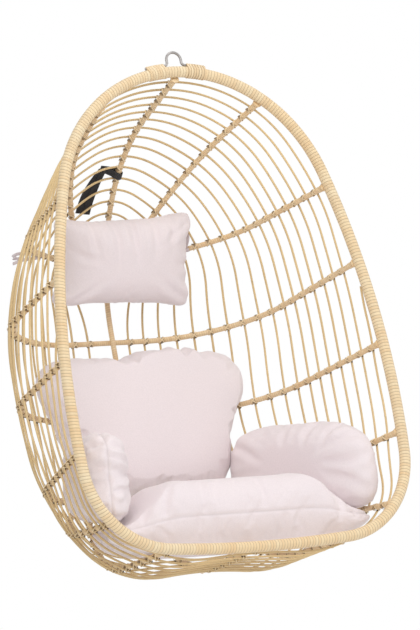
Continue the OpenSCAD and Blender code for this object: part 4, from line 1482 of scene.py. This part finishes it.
class EGGCHAIR_OT_strap(bpy.types.Operator):
    """Lays the safety strap: a slack fold round the spine, then its two layers down the outside"""

    bl_idname = "egg_chair.strap"
    bl_label = "Safety strap"

    def execute(self, context):
        s = sum(crossing(0, k)[2] for k in STRAP_CANES) / 2
        t = SPINE_DROP + (s - SPINE_RUN) / DOME_R
        dome = np.array([0, *DOME_C])
        radial = np.array([0, math.sin(t), math.cos(t)])
        down = np.array([0, math.cos(t), -math.sin(t)])
        aside = np.array([1.0, 0, 0])
        # the fold: from the outside on the left, under the spine, and back over its outside
        way = through(FOLD_WAY, 5)
        points = [dome + radial * (DOME_R + o) + aside * x + down * (0.1 * x) for x, o in way]
        outs = [aside * dy - radial * dx for dx, dy in np.gradient(np.array(way), axis=0)]
        made = [(*flat_strip("strap_fold", points, outs, FOLD_WIDTH, LAYER, step=2.0), FOLD_WIDTH)]
        over = DOME_R + RIB_R + LASHING_IN + 2 * CANE_R + GAP + 1
        for layer, tail_way in enumerate(TAIL_WAYS):
            points, outs = [], []
            for x, y in through(tail_way, 8):
                away = math.hypot(x, y)
                along = (aside * x + down * y) / away
                outs.append(radial * math.cos(away / DOME_R) + along * math.sin(away / DOME_R))
                points.append(dome + outs[-1] * (over + 0.65 + 1.25 * layer))
            grow = TAIL_WIDEST - TAIL_START
            widths = [TAIL_START + grow * min(1, i / 16) for i in range(len(points))]
            made.append((*flat_strip(f"strap_tail_{layer + 1}", points, outs, widths, LAYER), TAIL_WIDTH))
        for piece, length, width in made:
            finished(piece, finish_of("webbing"))
        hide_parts("safety_strap")
        return {"FINISHED"}


# the ties: how far from the middle they are on the upper hoop, and a ribbon's width and thickness
TIES_AT, RIBBON_WIDTH, RIBBON_THICKNESS = 186, 10, 0.7
# ways of the ties' ends, from the knot: (along the hoop, inward, up) in mm
RIGHT_TAILS = [
    [(0, 8, 3), (5, 10, 12), (9, 11, 22), (8, 10, 31), (1, 9, 34)],
    [(-2, 8, -3), (-6, 9, -12), (-8, 9.5, -22), (-13, 8, -32)],
]
LEFT_TAILS = [
    [(0, -8, 2), (10, -17, 4), (30, -26, 6), (46, -42, 4), (38, -52, -1), (26, -34, -4)],
    [(0, -8, -3), (12, -17, -6), (34, -30, -9), (50, -52, -16)],
]


class EGGCHAIR_OT_pillow_ties(bpy.types.Operator):
    """Ties the head pillow to the upper hoop with a ribbon on each side"""

    bl_idname = "egg_chair.pillow_ties"
    bl_label = "Pillow ties"

    def execute(self, context):
        hoop = HOOPS[0]
        q, t = hoop.at(hoop.length_at(TIES_AT))
        inward = unit(np.cross(t, [0, 0, 1]))
        if inward[1] > 0:
            inward = -inward
        if t[0] < 0:
            t = -t
        up = np.array([0, 0, 1.0])
        ribbon = (RIBBON_WIDTH, RIBBON_THICKNESS, 8)
        made = []
        for side, tails in ((1, RIGHT_TAILS), (-1, LEFT_TAILS)):
            flip = np.array([side, 1, 1])
            points, outs = [], []
            for i in range(29):  # once round the hoop, 4 mm along it
                a = 2 * math.pi * i / 28
                out = inward * math.cos(a) + up * math.sin(a)
                points.append((q + out * (RIB_R + GAP + 0.6) + t * (i / 28 - 0.5) * 4) * flip)
                outs.append(out * flip)
            made.append(flat_strip("tie_band", points, outs, *ribbon))
            for way in tails:
                way = np.array(through(way, 6))
                points = [(q + t * x + inward * y + up * z) * flip for x, y, z in way]
                along = [t * x + inward * y + up * z for x, y, z in np.gradient(way, axis=0)]
                outs = [unit(np.cross(a, t * 0.5 + up * 0.3 + inward * 0.2)) * flip for a in along]
                made.append(flat_strip("tie_tail", points, outs, *ribbon))
        for n, (piece, length) in enumerate(made):
            piece.name = piece.data.name = f"pillow_tie_{n + 1}"
            finished(piece, finish_of("ribbon"))
        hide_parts("pillow_ties")
        return {"FINISHED"}


# ---------------------------------------------------------------- cushions
def smooth_step(t):
    """0 to 1 with soft ends."""
    u = np.clip(t, 0, 1)
    return u * u * (3 - 2 * u)


class PadForm:
    """A crowned pad: its sizes in mm, how square its outline and its edge are, how far its sides are drawn
    in, its taper, and whether its ends are pressed down."""

    def __init__(self, size, outline, edge, draw, taper, pressed):
        self.size, self.outline, self.edge = np.array(size, float), outline, edge
        self.draw, self.taper, self.pressed = draw, taper, pressed

    def surface(self, turn, rise, inset=0.0):
        """Points of the pad at angles round it and above its seam, in mm."""
        s = self.size - 2 * inset
        flat = np.maximum(np.cos(rise), 0)
        k = 1 - self.draw * np.cos(2 * turn) ** 2 * flat**0.3
        x, y = (
            half * np.sign(way) * np.abs(way) ** self.outline * flat**self.edge * k
            for half, way in ((s[0] / 2, np.cos(turn)), (s[1] / 2, np.sin(turn)))
        )
        z = s[2] / 2 * np.sin(rise)
        if self.pressed:
            ends = smooth_step((np.abs(x) / (s[0] / 2) - 0.4) / 0.45)
            z = np.where(z < 0, z, z * (1 - 0.9 * ends))
        x = x * (1 - self.taper * y / (s[1] / 2))
        return np.stack([x, y, z], -1)


def turned(axis, degrees):
    """Rotation about x, y or z as a matrix."""
    c, s = math.cos(math.radians(degrees)), math.sin(math.radians(degrees))
    i, j = {"x": (1, 2), "y": (2, 0), "z": (0, 1)}[axis]
    m = np.eye(3)
    m[i, i] = m[j, j] = c
    m[i, j], m[j, i] = -s, s
    return m


HEAD = PadForm((350, 212, 126), 0.3, 0.6, 0.09, 0, False)
BACK = PadForm((516, 384, 130), 0.6, 0.45, 0.05, 0.17, False)
SEAT = PadForm((630, 350, 160), 0.5, 0.45, 0.05, 0.16, True)
ARM = PadForm((392, 208, 114), 0.9, 0.45, 0.05, 0, False)
# how each cushion lies: its turn and its middle; the head pillow and the back cushion lean on lashings
HEAD_LEAN = turned("x", -66)
HEAD_REACH = DOME_R - RIB_R - LASHING_IN - 5.6 - 63
HEAD_PLACE = (HEAD_LEAN, np.array([0, *DOME_C]) + HEAD_LEAN @ np.array([0, 0, HEAD_REACH]))
BACK_PLACE = (turned("x", -93), np.array([3, BACK_Y - RIB_R - LASHING_IN - 4.3 - 65, 382]))
SEAT_PLACE = (turned("x", 10), np.array([0, 170, 108.7]))
ARM_TURN = turned("x", 12) @ turned("z", 19) @ turned("y", 90) @ turned("z", 90)
ARM_PLACE = (ARM_TURN, np.array([269, 196, 218.8]))


def vertex_normals(obj):
    """An object's vertex normals as an array."""
    n = np.empty(len(obj.data.vertices) * 3, np.float32)
    obj.data.vertex_normals.foreach_get("vector", n)
    return n.reshape(-1, 3).astype(float)


def round_pad(form, inset=0.0):
    """A sphere whose points are moved to a pad's form."""
    clear_selection()
    bpy.ops.mesh.primitive_uv_sphere_add(segments=96, ring_count=64, radius=1)
    pad = bpy.context.object
    co = coordinates(pad)
    rise = np.arcsin(np.clip(co[:, 2], -1, 1))
    turn = np.arctan2(co[:, 1], co[:, 0])
    set_coordinates(pad, form.surface(turn, rise, inset) / 1000)
    return pad


def blown(pad, cap):
    """Fills a pad by a short cloth simulation; no point moves further than cap."""
    sizes = settings().cushion
    only(pad)
    remesh = pad.modifiers.new("cells", "REMESH")
    remesh.mode, remesh.voxel_size = "VOXEL", sizes.voxel
    bpy.ops.object.modifier_apply(modifier="cells")
    start = coordinates(pad)
    cloth = pad.modifiers.new("filling", "CLOTH")
    cover = cloth.settings
    cover.quality, cover.mass = 4, 0.25
    cover.tension_stiffness, cover.compression_stiffness = 12, 8
    cover.shear_stiffness, cover.bending_stiffness = 4, 0.4
    cover.shrink_min = -0.035
    cover.use_pressure, cover.uniform_pressure_force = True, sizes.pressure
    cover.effector_weights.gravity = 0
    cloth.point_cache.frame_start, cloth.point_cache.frame_end = 1, sizes.steps
    for step in range(1, sizes.steps + 1):
        bpy.context.scene.frame_set(step)
    bpy.ops.object.modifier_apply(modifier="filling")
    moved = coordinates(pad) - start
    far = np.linalg.norm(moved, axis=1)
    moved *= np.minimum(1, cap / np.maximum(far, 1e-9))[:, None]
    set_coordinates(pad, start + moved)
    bpy.context.scene.frame_set(1)


def kept_within(pad, form, spare):
    """Brings points of a pad that stand out of its form back to spare outside it."""
    guide = round_pad(form)
    tree = BVHTree.FromObject(guide, bpy.context.evaluated_depsgraph_get())
    bpy.data.objects.remove(guide)
    co = coordinates(pad)
    for index, p in enumerate(co):
        place, normal, _, far = tree.find_nearest(Vector(p))
        if far > spare and (Vector(p) - place).dot(normal) > 0:
            co[index] = place + (Vector(p) - place) * (spare / far)
    set_coordinates(pad, co)


def head_shape(x, y, z):
    """The head pillow's corners drawn out a little and its long edges slack between them."""
    corner = smooth_step((np.abs(x) / 175 - 0.4) / 0.55) * smooth_step((np.abs(y) / 106 - 0.3) / 0.65)
    hang = x / 175 * (10 * smooth_step(y / 106) - 3)
    wider, taller = np.where(x > 0, 7, -13), np.where(y > 0, 4, -9)
    return x + wider * corner, y + taller * corner + hang, z


def back_shape(x, y, z):
    """The back cushion's top bulges up right of its middle; its right side swells above a drawn in
    lower end."""
    hump = smooth_step((125 - np.abs(x - 55)) / 90) * smooth_step(-y / 192 * 1.3 - 0.2)
    side = smooth_step(x / 250)
    bulge = np.exp(-(((y + 45) / 60) ** 2)) * smooth_step(0.5 - z / 40)
    drawn_in = smooth_step(y / 192 * 1.2 + 0.5)
    return x + side * (8 + 7 * bulge - 26 * drawn_in), y - 18 * hump, z


def seat_shape(x, y, z):
    """The seat cushion's ends turn down, so that they stay blunt under the arm cushions."""
    end = smooth_step((np.abs(x) / 315 - 0.5) / 0.5)
    shoulder = np.exp(-(((np.abs(x) - 185) / 45) ** 2)) * smooth_step(z / 20)
    shoulder = shoulder * smooth_step(-y / 175 * 1.4 + 0.4)
    raised = 8 * end * smooth_step(-z / 60) + 8 * shoulder
    back_a_little = 4 * end * smooth_step(-y / 120)
    return x * (1 + 0.015 * end), y + back_a_little, z - 20 * end * (1 - np.abs(z) / 82) + raised


def arm_shape(corners, forward):
    """An arm cushion's corners are fuller or rounder: angles round it in degrees and how much at each,
    and the share of that which also goes forward."""

    def shaped(x, y, z):
        turn = np.arctan2(y / 104, x / 196)
        fuller = 1.0
        for corner, share in corners:
            away = np.abs(np.mod(turn - math.radians(corner) + math.pi, 2 * math.pi) - math.pi)
            fuller = fuller + share * np.exp(-((away / math.radians(25)) ** 2))
        longer = np.where(x < 0, 1 + (fuller - 1) * forward, fuller)
        return x * longer * (1 + 0.09 * smooth_step(x / 196)), y * fuller, z

    return shaped


RIGHT_ARM_SHAPE = arm_shape(((222, 0.32), (142, -0.03), (-38, 0.15), (38, 0.11), (-5, 0.065)), 0.4)
LEFT_ARM_SHAPE = arm_shape(((220, 0.29), (142, 0.16), (-38, 0.10), (38, 0.06)), 0.9)


def near_line(x, y, a, b, bow=0.0):
    """Distance of points from a line in the pad's plane, and their place along it from 0 to 1."""
    a, b = np.array(a, float), np.array(b, float)
    d = b - a
    length = np.linalg.norm(d)
    t = ((x - a[0]) * d[0] + (y - a[1]) * d[1]) / length**2
    off = ((x - a[0]) * -d[1] + (y - a[1]) * d[0]) / length - bow * (1 - (2 * np.clip(t, 0, 1) - 1) ** 2)
    past = np.maximum(0, np.maximum(-t, t - 1)) * length
    return off, t, past


def seam_gathers(x, y, off, seed, pucker):
    """How a seam draws the cover in and gathers it on both sides."""
    depth = settings().cushion.seam_depth * 1000
    turn = np.arctan2(y / (np.abs(y).max() + 1e-9), x / (np.abs(x).max() + 1e-9))
    beside = np.exp(-np.abs(off) / 13.5) * (1 - np.exp(-((off / 4.0) ** 2)))
    run = turn * 46 + 5.0 * np.sin(turn * 5 + seed) + 2.4 * np.sin(turn * 17 + 2 * seed)
    gathers = pucker * beside * np.sin(run) * (0.55 + 0.45 * np.sin(turn * 7 + seed * 3))
    return gathers - depth * np.exp(-((off / 3.2) ** 2))


def pressed_fold(x, y, z, face, a, b, depth, width, bow):
    """How one fold presses into a face of the cover, and how the cloth swells beside it."""
    off, t, past = near_line(x, y, a, b, bow)
    along = 0.35 + 0.65 * np.sin(math.pi * np.clip(t, 0.02, 0.98)) ** 0.7
    fade = along * np.exp(-((past / (2.5 * width)) ** 2))
    swell = sum(np.exp(-(((off - side * 1.9 * width) / (1.1 * width)) ** 2)) for side in (1, -1))
    return depth * (0.55 * swell - np.exp(-((off / width) ** 2))) * fade * smooth_step(z * face / 14.0)


def crumpled_front(x, y, z, seed):
    """Short folds across the seam at the front end of a pad."""
    broad = np.sin(y / 6.5 + 2.2 * np.sin(z / 13) + seed)
    fine = np.sin(y / 4.3 - z / 10 + 1.7 * np.sin(x / 15))
    return smooth_step((-x - 80) / 70) * (0.6 * broad + 0.4 * fine)


def sewn_and_folded(pad, folds, seed, seam=0, pucker=1.4, crumple=0.0):
    """Draws the cover in at its seam, gathers it beside it, and presses its folds in."""
    co = coordinates(pad) * 1000
    x, y, z = co.T
    off = z - seam
    push = seam_gathers(x, y, off, seed, pucker)
    for fold in folds:
        push += pressed_fold(x, y, z, *fold)
    push += crumple * crumpled_front(x, y, z, seed)
    set_coordinates(pad, (co + vertex_normals(pad) * push[:, None]) / 1000)
    # marks the seam for the painted shade along it
    attribute(pad, "seam", np.exp(-((off / 2.0) ** 2)))


def cushion(name, form, place, folds, shape, inset, cap, seed, fill, solids, flip=1, **sewing):
    """One filled cushion: its form, blown up, sewn and folded, kept within its space, and put in place."""
    pad = round_pad(form, inset)
    pad.name = pad.data.name = name
    blown(pad, cap)
    smooth = pad.modifiers.new("soft", "SUBSURF")
    smooth.levels = smooth.render_levels = 1
    only(pad)
    bpy.ops.object.modifier_apply(modifier="soft")
    sewn_and_folded(pad, folds, seed, **sewing)
    kept_within(pad, form, 0.0015)
    turn, middle = place
    p = np.stack(shape(*(coordinates(pad) * 1000).T), -1) @ turn.T + middle
    p[:, 0] *= flip
    set_coordinates(pad, at_rest(p))
    close_up(pad, 1e-7)
    bpy.ops.object.shade_smooth()
    finished(pad, finish_of("cloth"), solids)


# folds of the covers: the face, 1 or -1, then start, end, depth, width and bow in mm
HEAD_FOLDS = [
    (-1, (-96, -100), (-90, -30), 4.6, 8, 4),
    (-1, (-44, -102), (-40, -14), 5.4, 9, -3),
    (-1, (8, -102), (6, -22), 5.2, 8, 3),
    (-1, (58, -102), (52, -30), 4.8, 9, -4),
    (-1, (108, -98), (98, -40), 4.0, 8, 2),
    (-1, (-150, -40), (-96, -16), 3.6, 8, 4),
    (-1, (166, 86), (70, 34), 4.4, 9, -8),
    (-1, (168, -88), (84, -46), 4.0, 8, 6),
    (-1, (164, 20), (112, 4), 3.6, 8, 3),
    (-1, (-146, 92), (-88, 42), 3.8, 8, 0),
]
BACK_FOLDS = [
    (-1, (-250, -120), (-120, -60), 4.5, 12, 10),
    (-1, (-235, -40), (-120, -10), 4.5, 12, 8),
    (-1, (-235, 30), (-120, 30), 4.8, 12, -6),
    (-1, (-220, 110), (-130, 70), 4.8, 11, 6),
    (-1, (-170, 150), (-110, 90), 4.4, 10, -5),
    (-1, (-60, -182), (-40, -110), 4.0, 11, 6),
    (-1, (112, -184), (96, -120), 4.2, 10, -4),
    (-1, (170, -178), (140, -110), 4.6, 11, 6),
    (-1, (236, -130), (150, -80), 3.6, 12, -6),
    (-1, (210, 40), (130, 20), 3.4, 13, 6),
    (-1, (190, 130), (110, 70), 3.6, 12, -8),
]
SEAT_FOLDS = [
    (1, (-270, -150), (-150, -70), 4.2, 10, 9),
    (1, (-300, -90), (-180, -30), 4.4, 10, -8),
    (1, (-240, -168), (-170, -110), 3.8, 8, -5),
    (1, (250, -150), (150, -90), 4.2, 10, -9),
    (1, (290, -100), (190, -40), 4.0, 10, 7),
    (1, (-120, -170), (-90, -100), 3.0, 9, 3),
    (1, (40, -172), (30, -100), 3.0, 9, -3),
    (-1, (-250, -150), (-180, -100), 3.6, 9, 5),
    (-1, (230, -150), (160, -110), 3.6, 9, -5),
    (-1, (-90, -172), (-70, -120), 2.8, 9, 4),
    (-1, (90, -172), (80, -126), 2.8, 9, -4),
]
ARM_FOLDS = [
    (-1, (-170, 60), (-80, 26), 5.2, 9, 7),
    (-1, (-182, 14), (-90, 4), 5.4, 10, -6),
    (-1, (-170, -50), (-90, -20), 4.8, 9, 6),
    (-1, (-120, -92), (-70, -40), 4.6, 9, -5),
    (-1, (-120, 88), (-86, 40), 4.8, 8, 4),
    (-1, (170, 50), (90, 20), 4.2, 9, -6),
    (-1, (176, -10), (104, -8), 4.0, 9, 5),
    (-1, (-50, 98), (-38, 44), 4.0, 9, 3),
    (-1, (30, 98), (24, 44), 3.8, 9, -3),
]
LEFT_ARM_FOLDS = ARM_FOLDS + [
    (1, (-184, 70), (-96, 26), 5.6, 8, 8),
    (1, (-190, 24), (-88, 8), 6.0, 8, -6),
    (1, (-188, -16), (-100, -14), 5.0, 7, 5),
    (1, (-180, -56), (-90, -26), 5.4, 8, -7),
    (1, (-140, 92), (-84, 34), 5.4, 8, 6),
    (1, (-90, 100), (-50, 36), 5.2, 8, -5),
    (1, (-30, 100), (-16, 34), 5.0, 8, 4),
    (-1, (-192, 40), (-130, 20), 4.6, 6, 3),
    (-1, (-192, -30), (-130, -16), 4.6, 6, -3),
]


class EGGCHAIR_OT_cushions(bpy.types.Operator):
    """Fills, sews and places the head pillow, the back and seat cushions and the two arm cushions"""

    bl_idname = "egg_chair.cushions"
    bl_label = "Cushions"

    def execute(self, context):
        cushion(
            "head_pillow", HEAD, HEAD_PLACE, HEAD_FOLDS, head_shape,
            inset=6, cap=0.016, seed=1.0, fill=0.75, pucker=1.7,
            solids=("head_pillow_cover", "head_pillow_filling"),
        )
        cushion(
            "back_cushion", BACK, BACK_PLACE, BACK_FOLDS, back_shape,
            inset=7, cap=0.024, seed=2.0, fill=0.7, pucker=0.9,
            solids=("back_cushion_cover", "back_cushion_filling"),
        )
        cushion(
            "seat_cushion", SEAT, SEAT_PLACE, SEAT_FOLDS, seat_shape,
            inset=7, cap=0.024, seed=3.0, fill=0.8,
            solids=("seat_cushion_cover", "seat_cushion_filling"),
        )
        cushion(
            "arm_cushion_right", ARM, ARM_PLACE, ARM_FOLDS, RIGHT_ARM_SHAPE,
            inset=6, cap=0.018, seed=4.0, fill=0.7, seam=24, crumple=0.7,
            solids=("arm_cushion_cover_right", "arm_cushion_filling_right"),
        )
        cushion(
            "arm_cushion_left", ARM, ARM_PLACE, LEFT_ARM_FOLDS, LEFT_ARM_SHAPE,
            inset=6, cap=0.018, seed=5.3, fill=0.7, flip=-1, crumple=2.4,
            solids=("arm_cushion_cover_left", "arm_cushion_filling_left"),
        )
        return {"FINISHED"}


# ---------------------------------------------------------------- stage
def seen_directly(tree):
    """1 where the camera, a reflection or a clear piece sees a surface, and 0 where it is only lit by it."""
    path = tree.nodes.new("ShaderNodeLightPath")
    seen = math_node(tree, "ADD", path.outputs["Is Camera Ray"], path.outputs["Is Glossy Ray"], clamp=True)
    return math_node(tree, "ADD", seen, path.outputs["Is Transmission Ray"], clamp=True)


def stage_finish(name, colour, shadow_share):
    """White paper that keeps a soft shadow under the chair and is plain white further off."""
    material, tree, shader = principled(name, 0.9)
    place = node(tree, "ShaderNodeTexCoord")
    where = ("Vector", place.outputs["Object"])
    tone = group_of(tree, "natural_tone", [where], Patch_Size=0.6, Fleck_Size=40.0)
    base = mix_node(tree, tone.outputs["Tone"], colour, shade(colour, 0.995))
    tree.links.new(base, shader.inputs["Base Color"])
    far = node(tree, "ShaderNodeVectorMath", [(0, place.outputs["Object"])], operation="LENGTH")
    near = math_node(tree, "DIVIDE", math_node(tree, "SUBTRACT", 2.4, far.outputs["Value"]), 0.7, clamp=True)
    shaded = math_node(tree, "MULTIPLY", near, shadow_share)
    white = node(tree, "ShaderNodeEmission", in_0=(1, 1, 1, 1), in_1=1.0)
    share = math_node(tree, "MULTIPLY", seen_directly(tree), math_node(tree, "SUBTRACT", 1.0, shaded))
    mixed = node(tree, "ShaderNodeMixShader", [(0, share), (1, shader.outputs[0]), (2, white.outputs[0])])
    output = next(n for n in tree.nodes if n.type == "OUTPUT_MATERIAL")
    tree.links.new(mixed.outputs[0], output.inputs["Surface"])
    return material


def studio_floor(low):
    """A round paper floor at a height, its middle a face of its own."""
    clear_selection()
    bpy.ops.mesh.primitive_circle_add(vertices=64, radius=9, fill_type="NGON")
    floor = bpy.context.object
    floor.name = floor.data.name = "studio_floor"
    bpy.ops.object.mode_set(mode="EDIT")
    bpy.ops.mesh.select_all(action="SELECT")
    bpy.ops.mesh.inset(thickness=5.5)
    bpy.ops.object.mode_set(mode="OBJECT")
    co = coordinates(floor)
    co[:, 2] = low
    set_coordinates(floor, co)
    floor.data.materials.append(stage_finish("studio_paper", (0.93, 0.93, 0.93), 0.35))


def studio_world(sky):
    """Light from all round, and plain white wherever the surroundings are seen."""
    scene = bpy.context.scene
    scene.world = scene.world or bpy.data.worlds.new("studio")
    scene.world.use_nodes = True
    tree = scene.world.node_tree
    tree.nodes.clear()
    output = tree.nodes.new("ShaderNodeOutputWorld")
    seen = node(tree, "ShaderNodeBackground", in_0=(1, 1, 1, 1), in_1=1.0)
    lit = node(tree, "ShaderNodeBackground", in_0=(1, 1, 1, 1), in_1=sky)
    links = [(0, seen_directly(tree)), (1, lit.outputs[0]), (2, seen.outputs[0])]
    mixed = node(tree, "ShaderNodeMixShader", links)
    tree.links.new(mixed.outputs[0], output.inputs[0])


# the lamps: place, size and share of the key light's power; all of them face the middle of the chair
LAMPS = {
    "key_light": ((-2.6, -4.2, 2.4), 3.2, 1.0),
    "fill_light": ((3.6, -2.6, 1.0), 3.0, 0.34),
    "top_light": ((0.2, 0.4, 3.4), 2.6, 0.34),
}
LIT_POINT = Vector((0, 0.1, -0.6))


def studio_lamps(power):
    """Large soft round lamps."""
    for name, (place, size, share) in LAMPS.items():
        data = bpy.data.lights.new(name, "AREA")
        data.shape, data.size, data.energy = "DISK", size, power * share
        lamp = bpy.data.objects.new(name, data)
        bpy.context.collection.objects.link(lamp)
        lamp.location = place
        lamp.rotation_euler = (LIT_POINT - Vector(place)).to_track_quat("-Z", "Y").to_euler()


# the camera: how far it is turned and tipped, its distance, the point it is set out from and how far
# to the side and up of it, and its lens as the focal length in pixels of a picture 630 pixels high
CAMERA_TURN, CAMERA_TIP, CAMERA_AWAY = math.radians(-29.63), math.radians(5.027), 11.8874
RIM_BOTTOM, CAMERA_ASIDE, CAMERA_UP = Vector((0, -0.3948, -1.0503)), -0.11234, 0.50002
FOCAL_PIXELS, PICTURE_HEIGHT, SENSOR = 5500, 630, 36.0


def studio_camera():
    """A long lens from the front right, a little above the seat."""
    data = bpy.data.cameras.new("camera")
    camera = bpy.data.objects.new("camera", data)
    bpy.context.collection.objects.link(camera)
    turn, tip = CAMERA_TURN, CAMERA_TIP
    back = Vector((math.sin(turn) * math.cos(tip), -math.cos(turn) * math.cos(tip), math.sin(tip)))
    right = Vector((math.cos(turn), math.sin(turn), 0))
    up = back.cross(right)
    camera.location = RIM_BOTTOM + right * CAMERA_ASIDE + up * CAMERA_UP + back * CAMERA_AWAY
    camera.rotation_euler = (-back).to_track_quat("-Z", "Y").to_euler()
    data.sensor_fit, data.sensor_width = "AUTO", SENSOR
    data.lens = FOCAL_PIXELS / PICTURE_HEIGHT * SENSOR
    data.clip_end = 200
    bpy.context.scene.camera = camera


class EGGCHAIR_OT_stage(bpy.types.Operator):
    """Sets the floor, the white surroundings, the lights and the camera"""

    bl_idname = "egg_chair.stage"
    bl_label = "Stage"

    def execute(self, context):
        stage = settings().stage
        studio_floor(CAD_BOX[0].z - stage.floor_below)
        studio_world(stage.sky)
        studio_lamps(stage.key)
        studio_camera()
        context.scene.view_settings.view_transform = "Standard"
        return {"FINISHED"}


class EGGCHAIR_PT_panel(bpy.types.Panel):
    """Lists the chair's settings and its steps"""

    bl_idname = "EGGCHAIR_PT_panel"
    bl_label = "Hanging egg chair"
    bl_space_type = "VIEW_3D"
    bl_region_type = "UI"
    bl_category = "Egg chair"

    def draw(self, context):
        chair = context.scene.egg_chair
        for part in ("winding", "lashing", "cushion", "finish", "stage"):
            group = getattr(chair, part)
            box = self.layout.box()
            box.label(text=part.capitalize())
            for key in group.__annotations__:
                box.prop(group, key)
        for step in OPERATORS:
            self.layout.operator(step.bl_idname)


GROUPS = (WindingSettings, LashingSettings, CushionSettings, FinishSettings, StageSettings, ChairSettings)
OPERATORS = (
    EGGCHAIR_OT_finishes,
    EGGCHAIR_OT_stage,
    EGGCHAIR_OT_rim,
    EGGCHAIR_OT_ribs,
    EGGCHAIR_OT_canes,
    EGGCHAIR_OT_lashings,
    EGGCHAIR_OT_rib_ends,
    EGGCHAIR_OT_loop,
    EGGCHAIR_OT_strap,
    EGGCHAIR_OT_pillow_ties,
    EGGCHAIR_OT_cushions,
)


def register():
    """Makes the settings, the steps and the panel known to Blender."""
    for item in (*GROUPS, *OPERATORS, EGGCHAIR_PT_panel):
        bpy.utils.register_class(item)
    bpy.types.Scene.egg_chair = PointerProperty(type=ChairSettings)


def unregister():
    """Takes them away again."""
    del bpy.types.Scene.egg_chair
    for item in reversed((*GROUPS, *OPERATORS, EGGCHAIR_PT_panel)):
        bpy.utils.unregister_class(item)


def main():
    """Builds the whole chair and its stage."""
    register()
    bpy.ops.egg_chair.finishes()
    bpy.ops.egg_chair.stage()
    bpy.ops.egg_chair.rim()
    bpy.ops.egg_chair.ribs()
    bpy.ops.egg_chair.canes()
    bpy.ops.egg_chair.lashings()
    bpy.ops.egg_chair.rib_ends()
    bpy.ops.egg_chair.loop()
    bpy.ops.egg_chair.strap()
    bpy.ops.egg_chair.pillow_ties()
    bpy.ops.egg_chair.cushions()


if __name__ == "__main__":
    main()
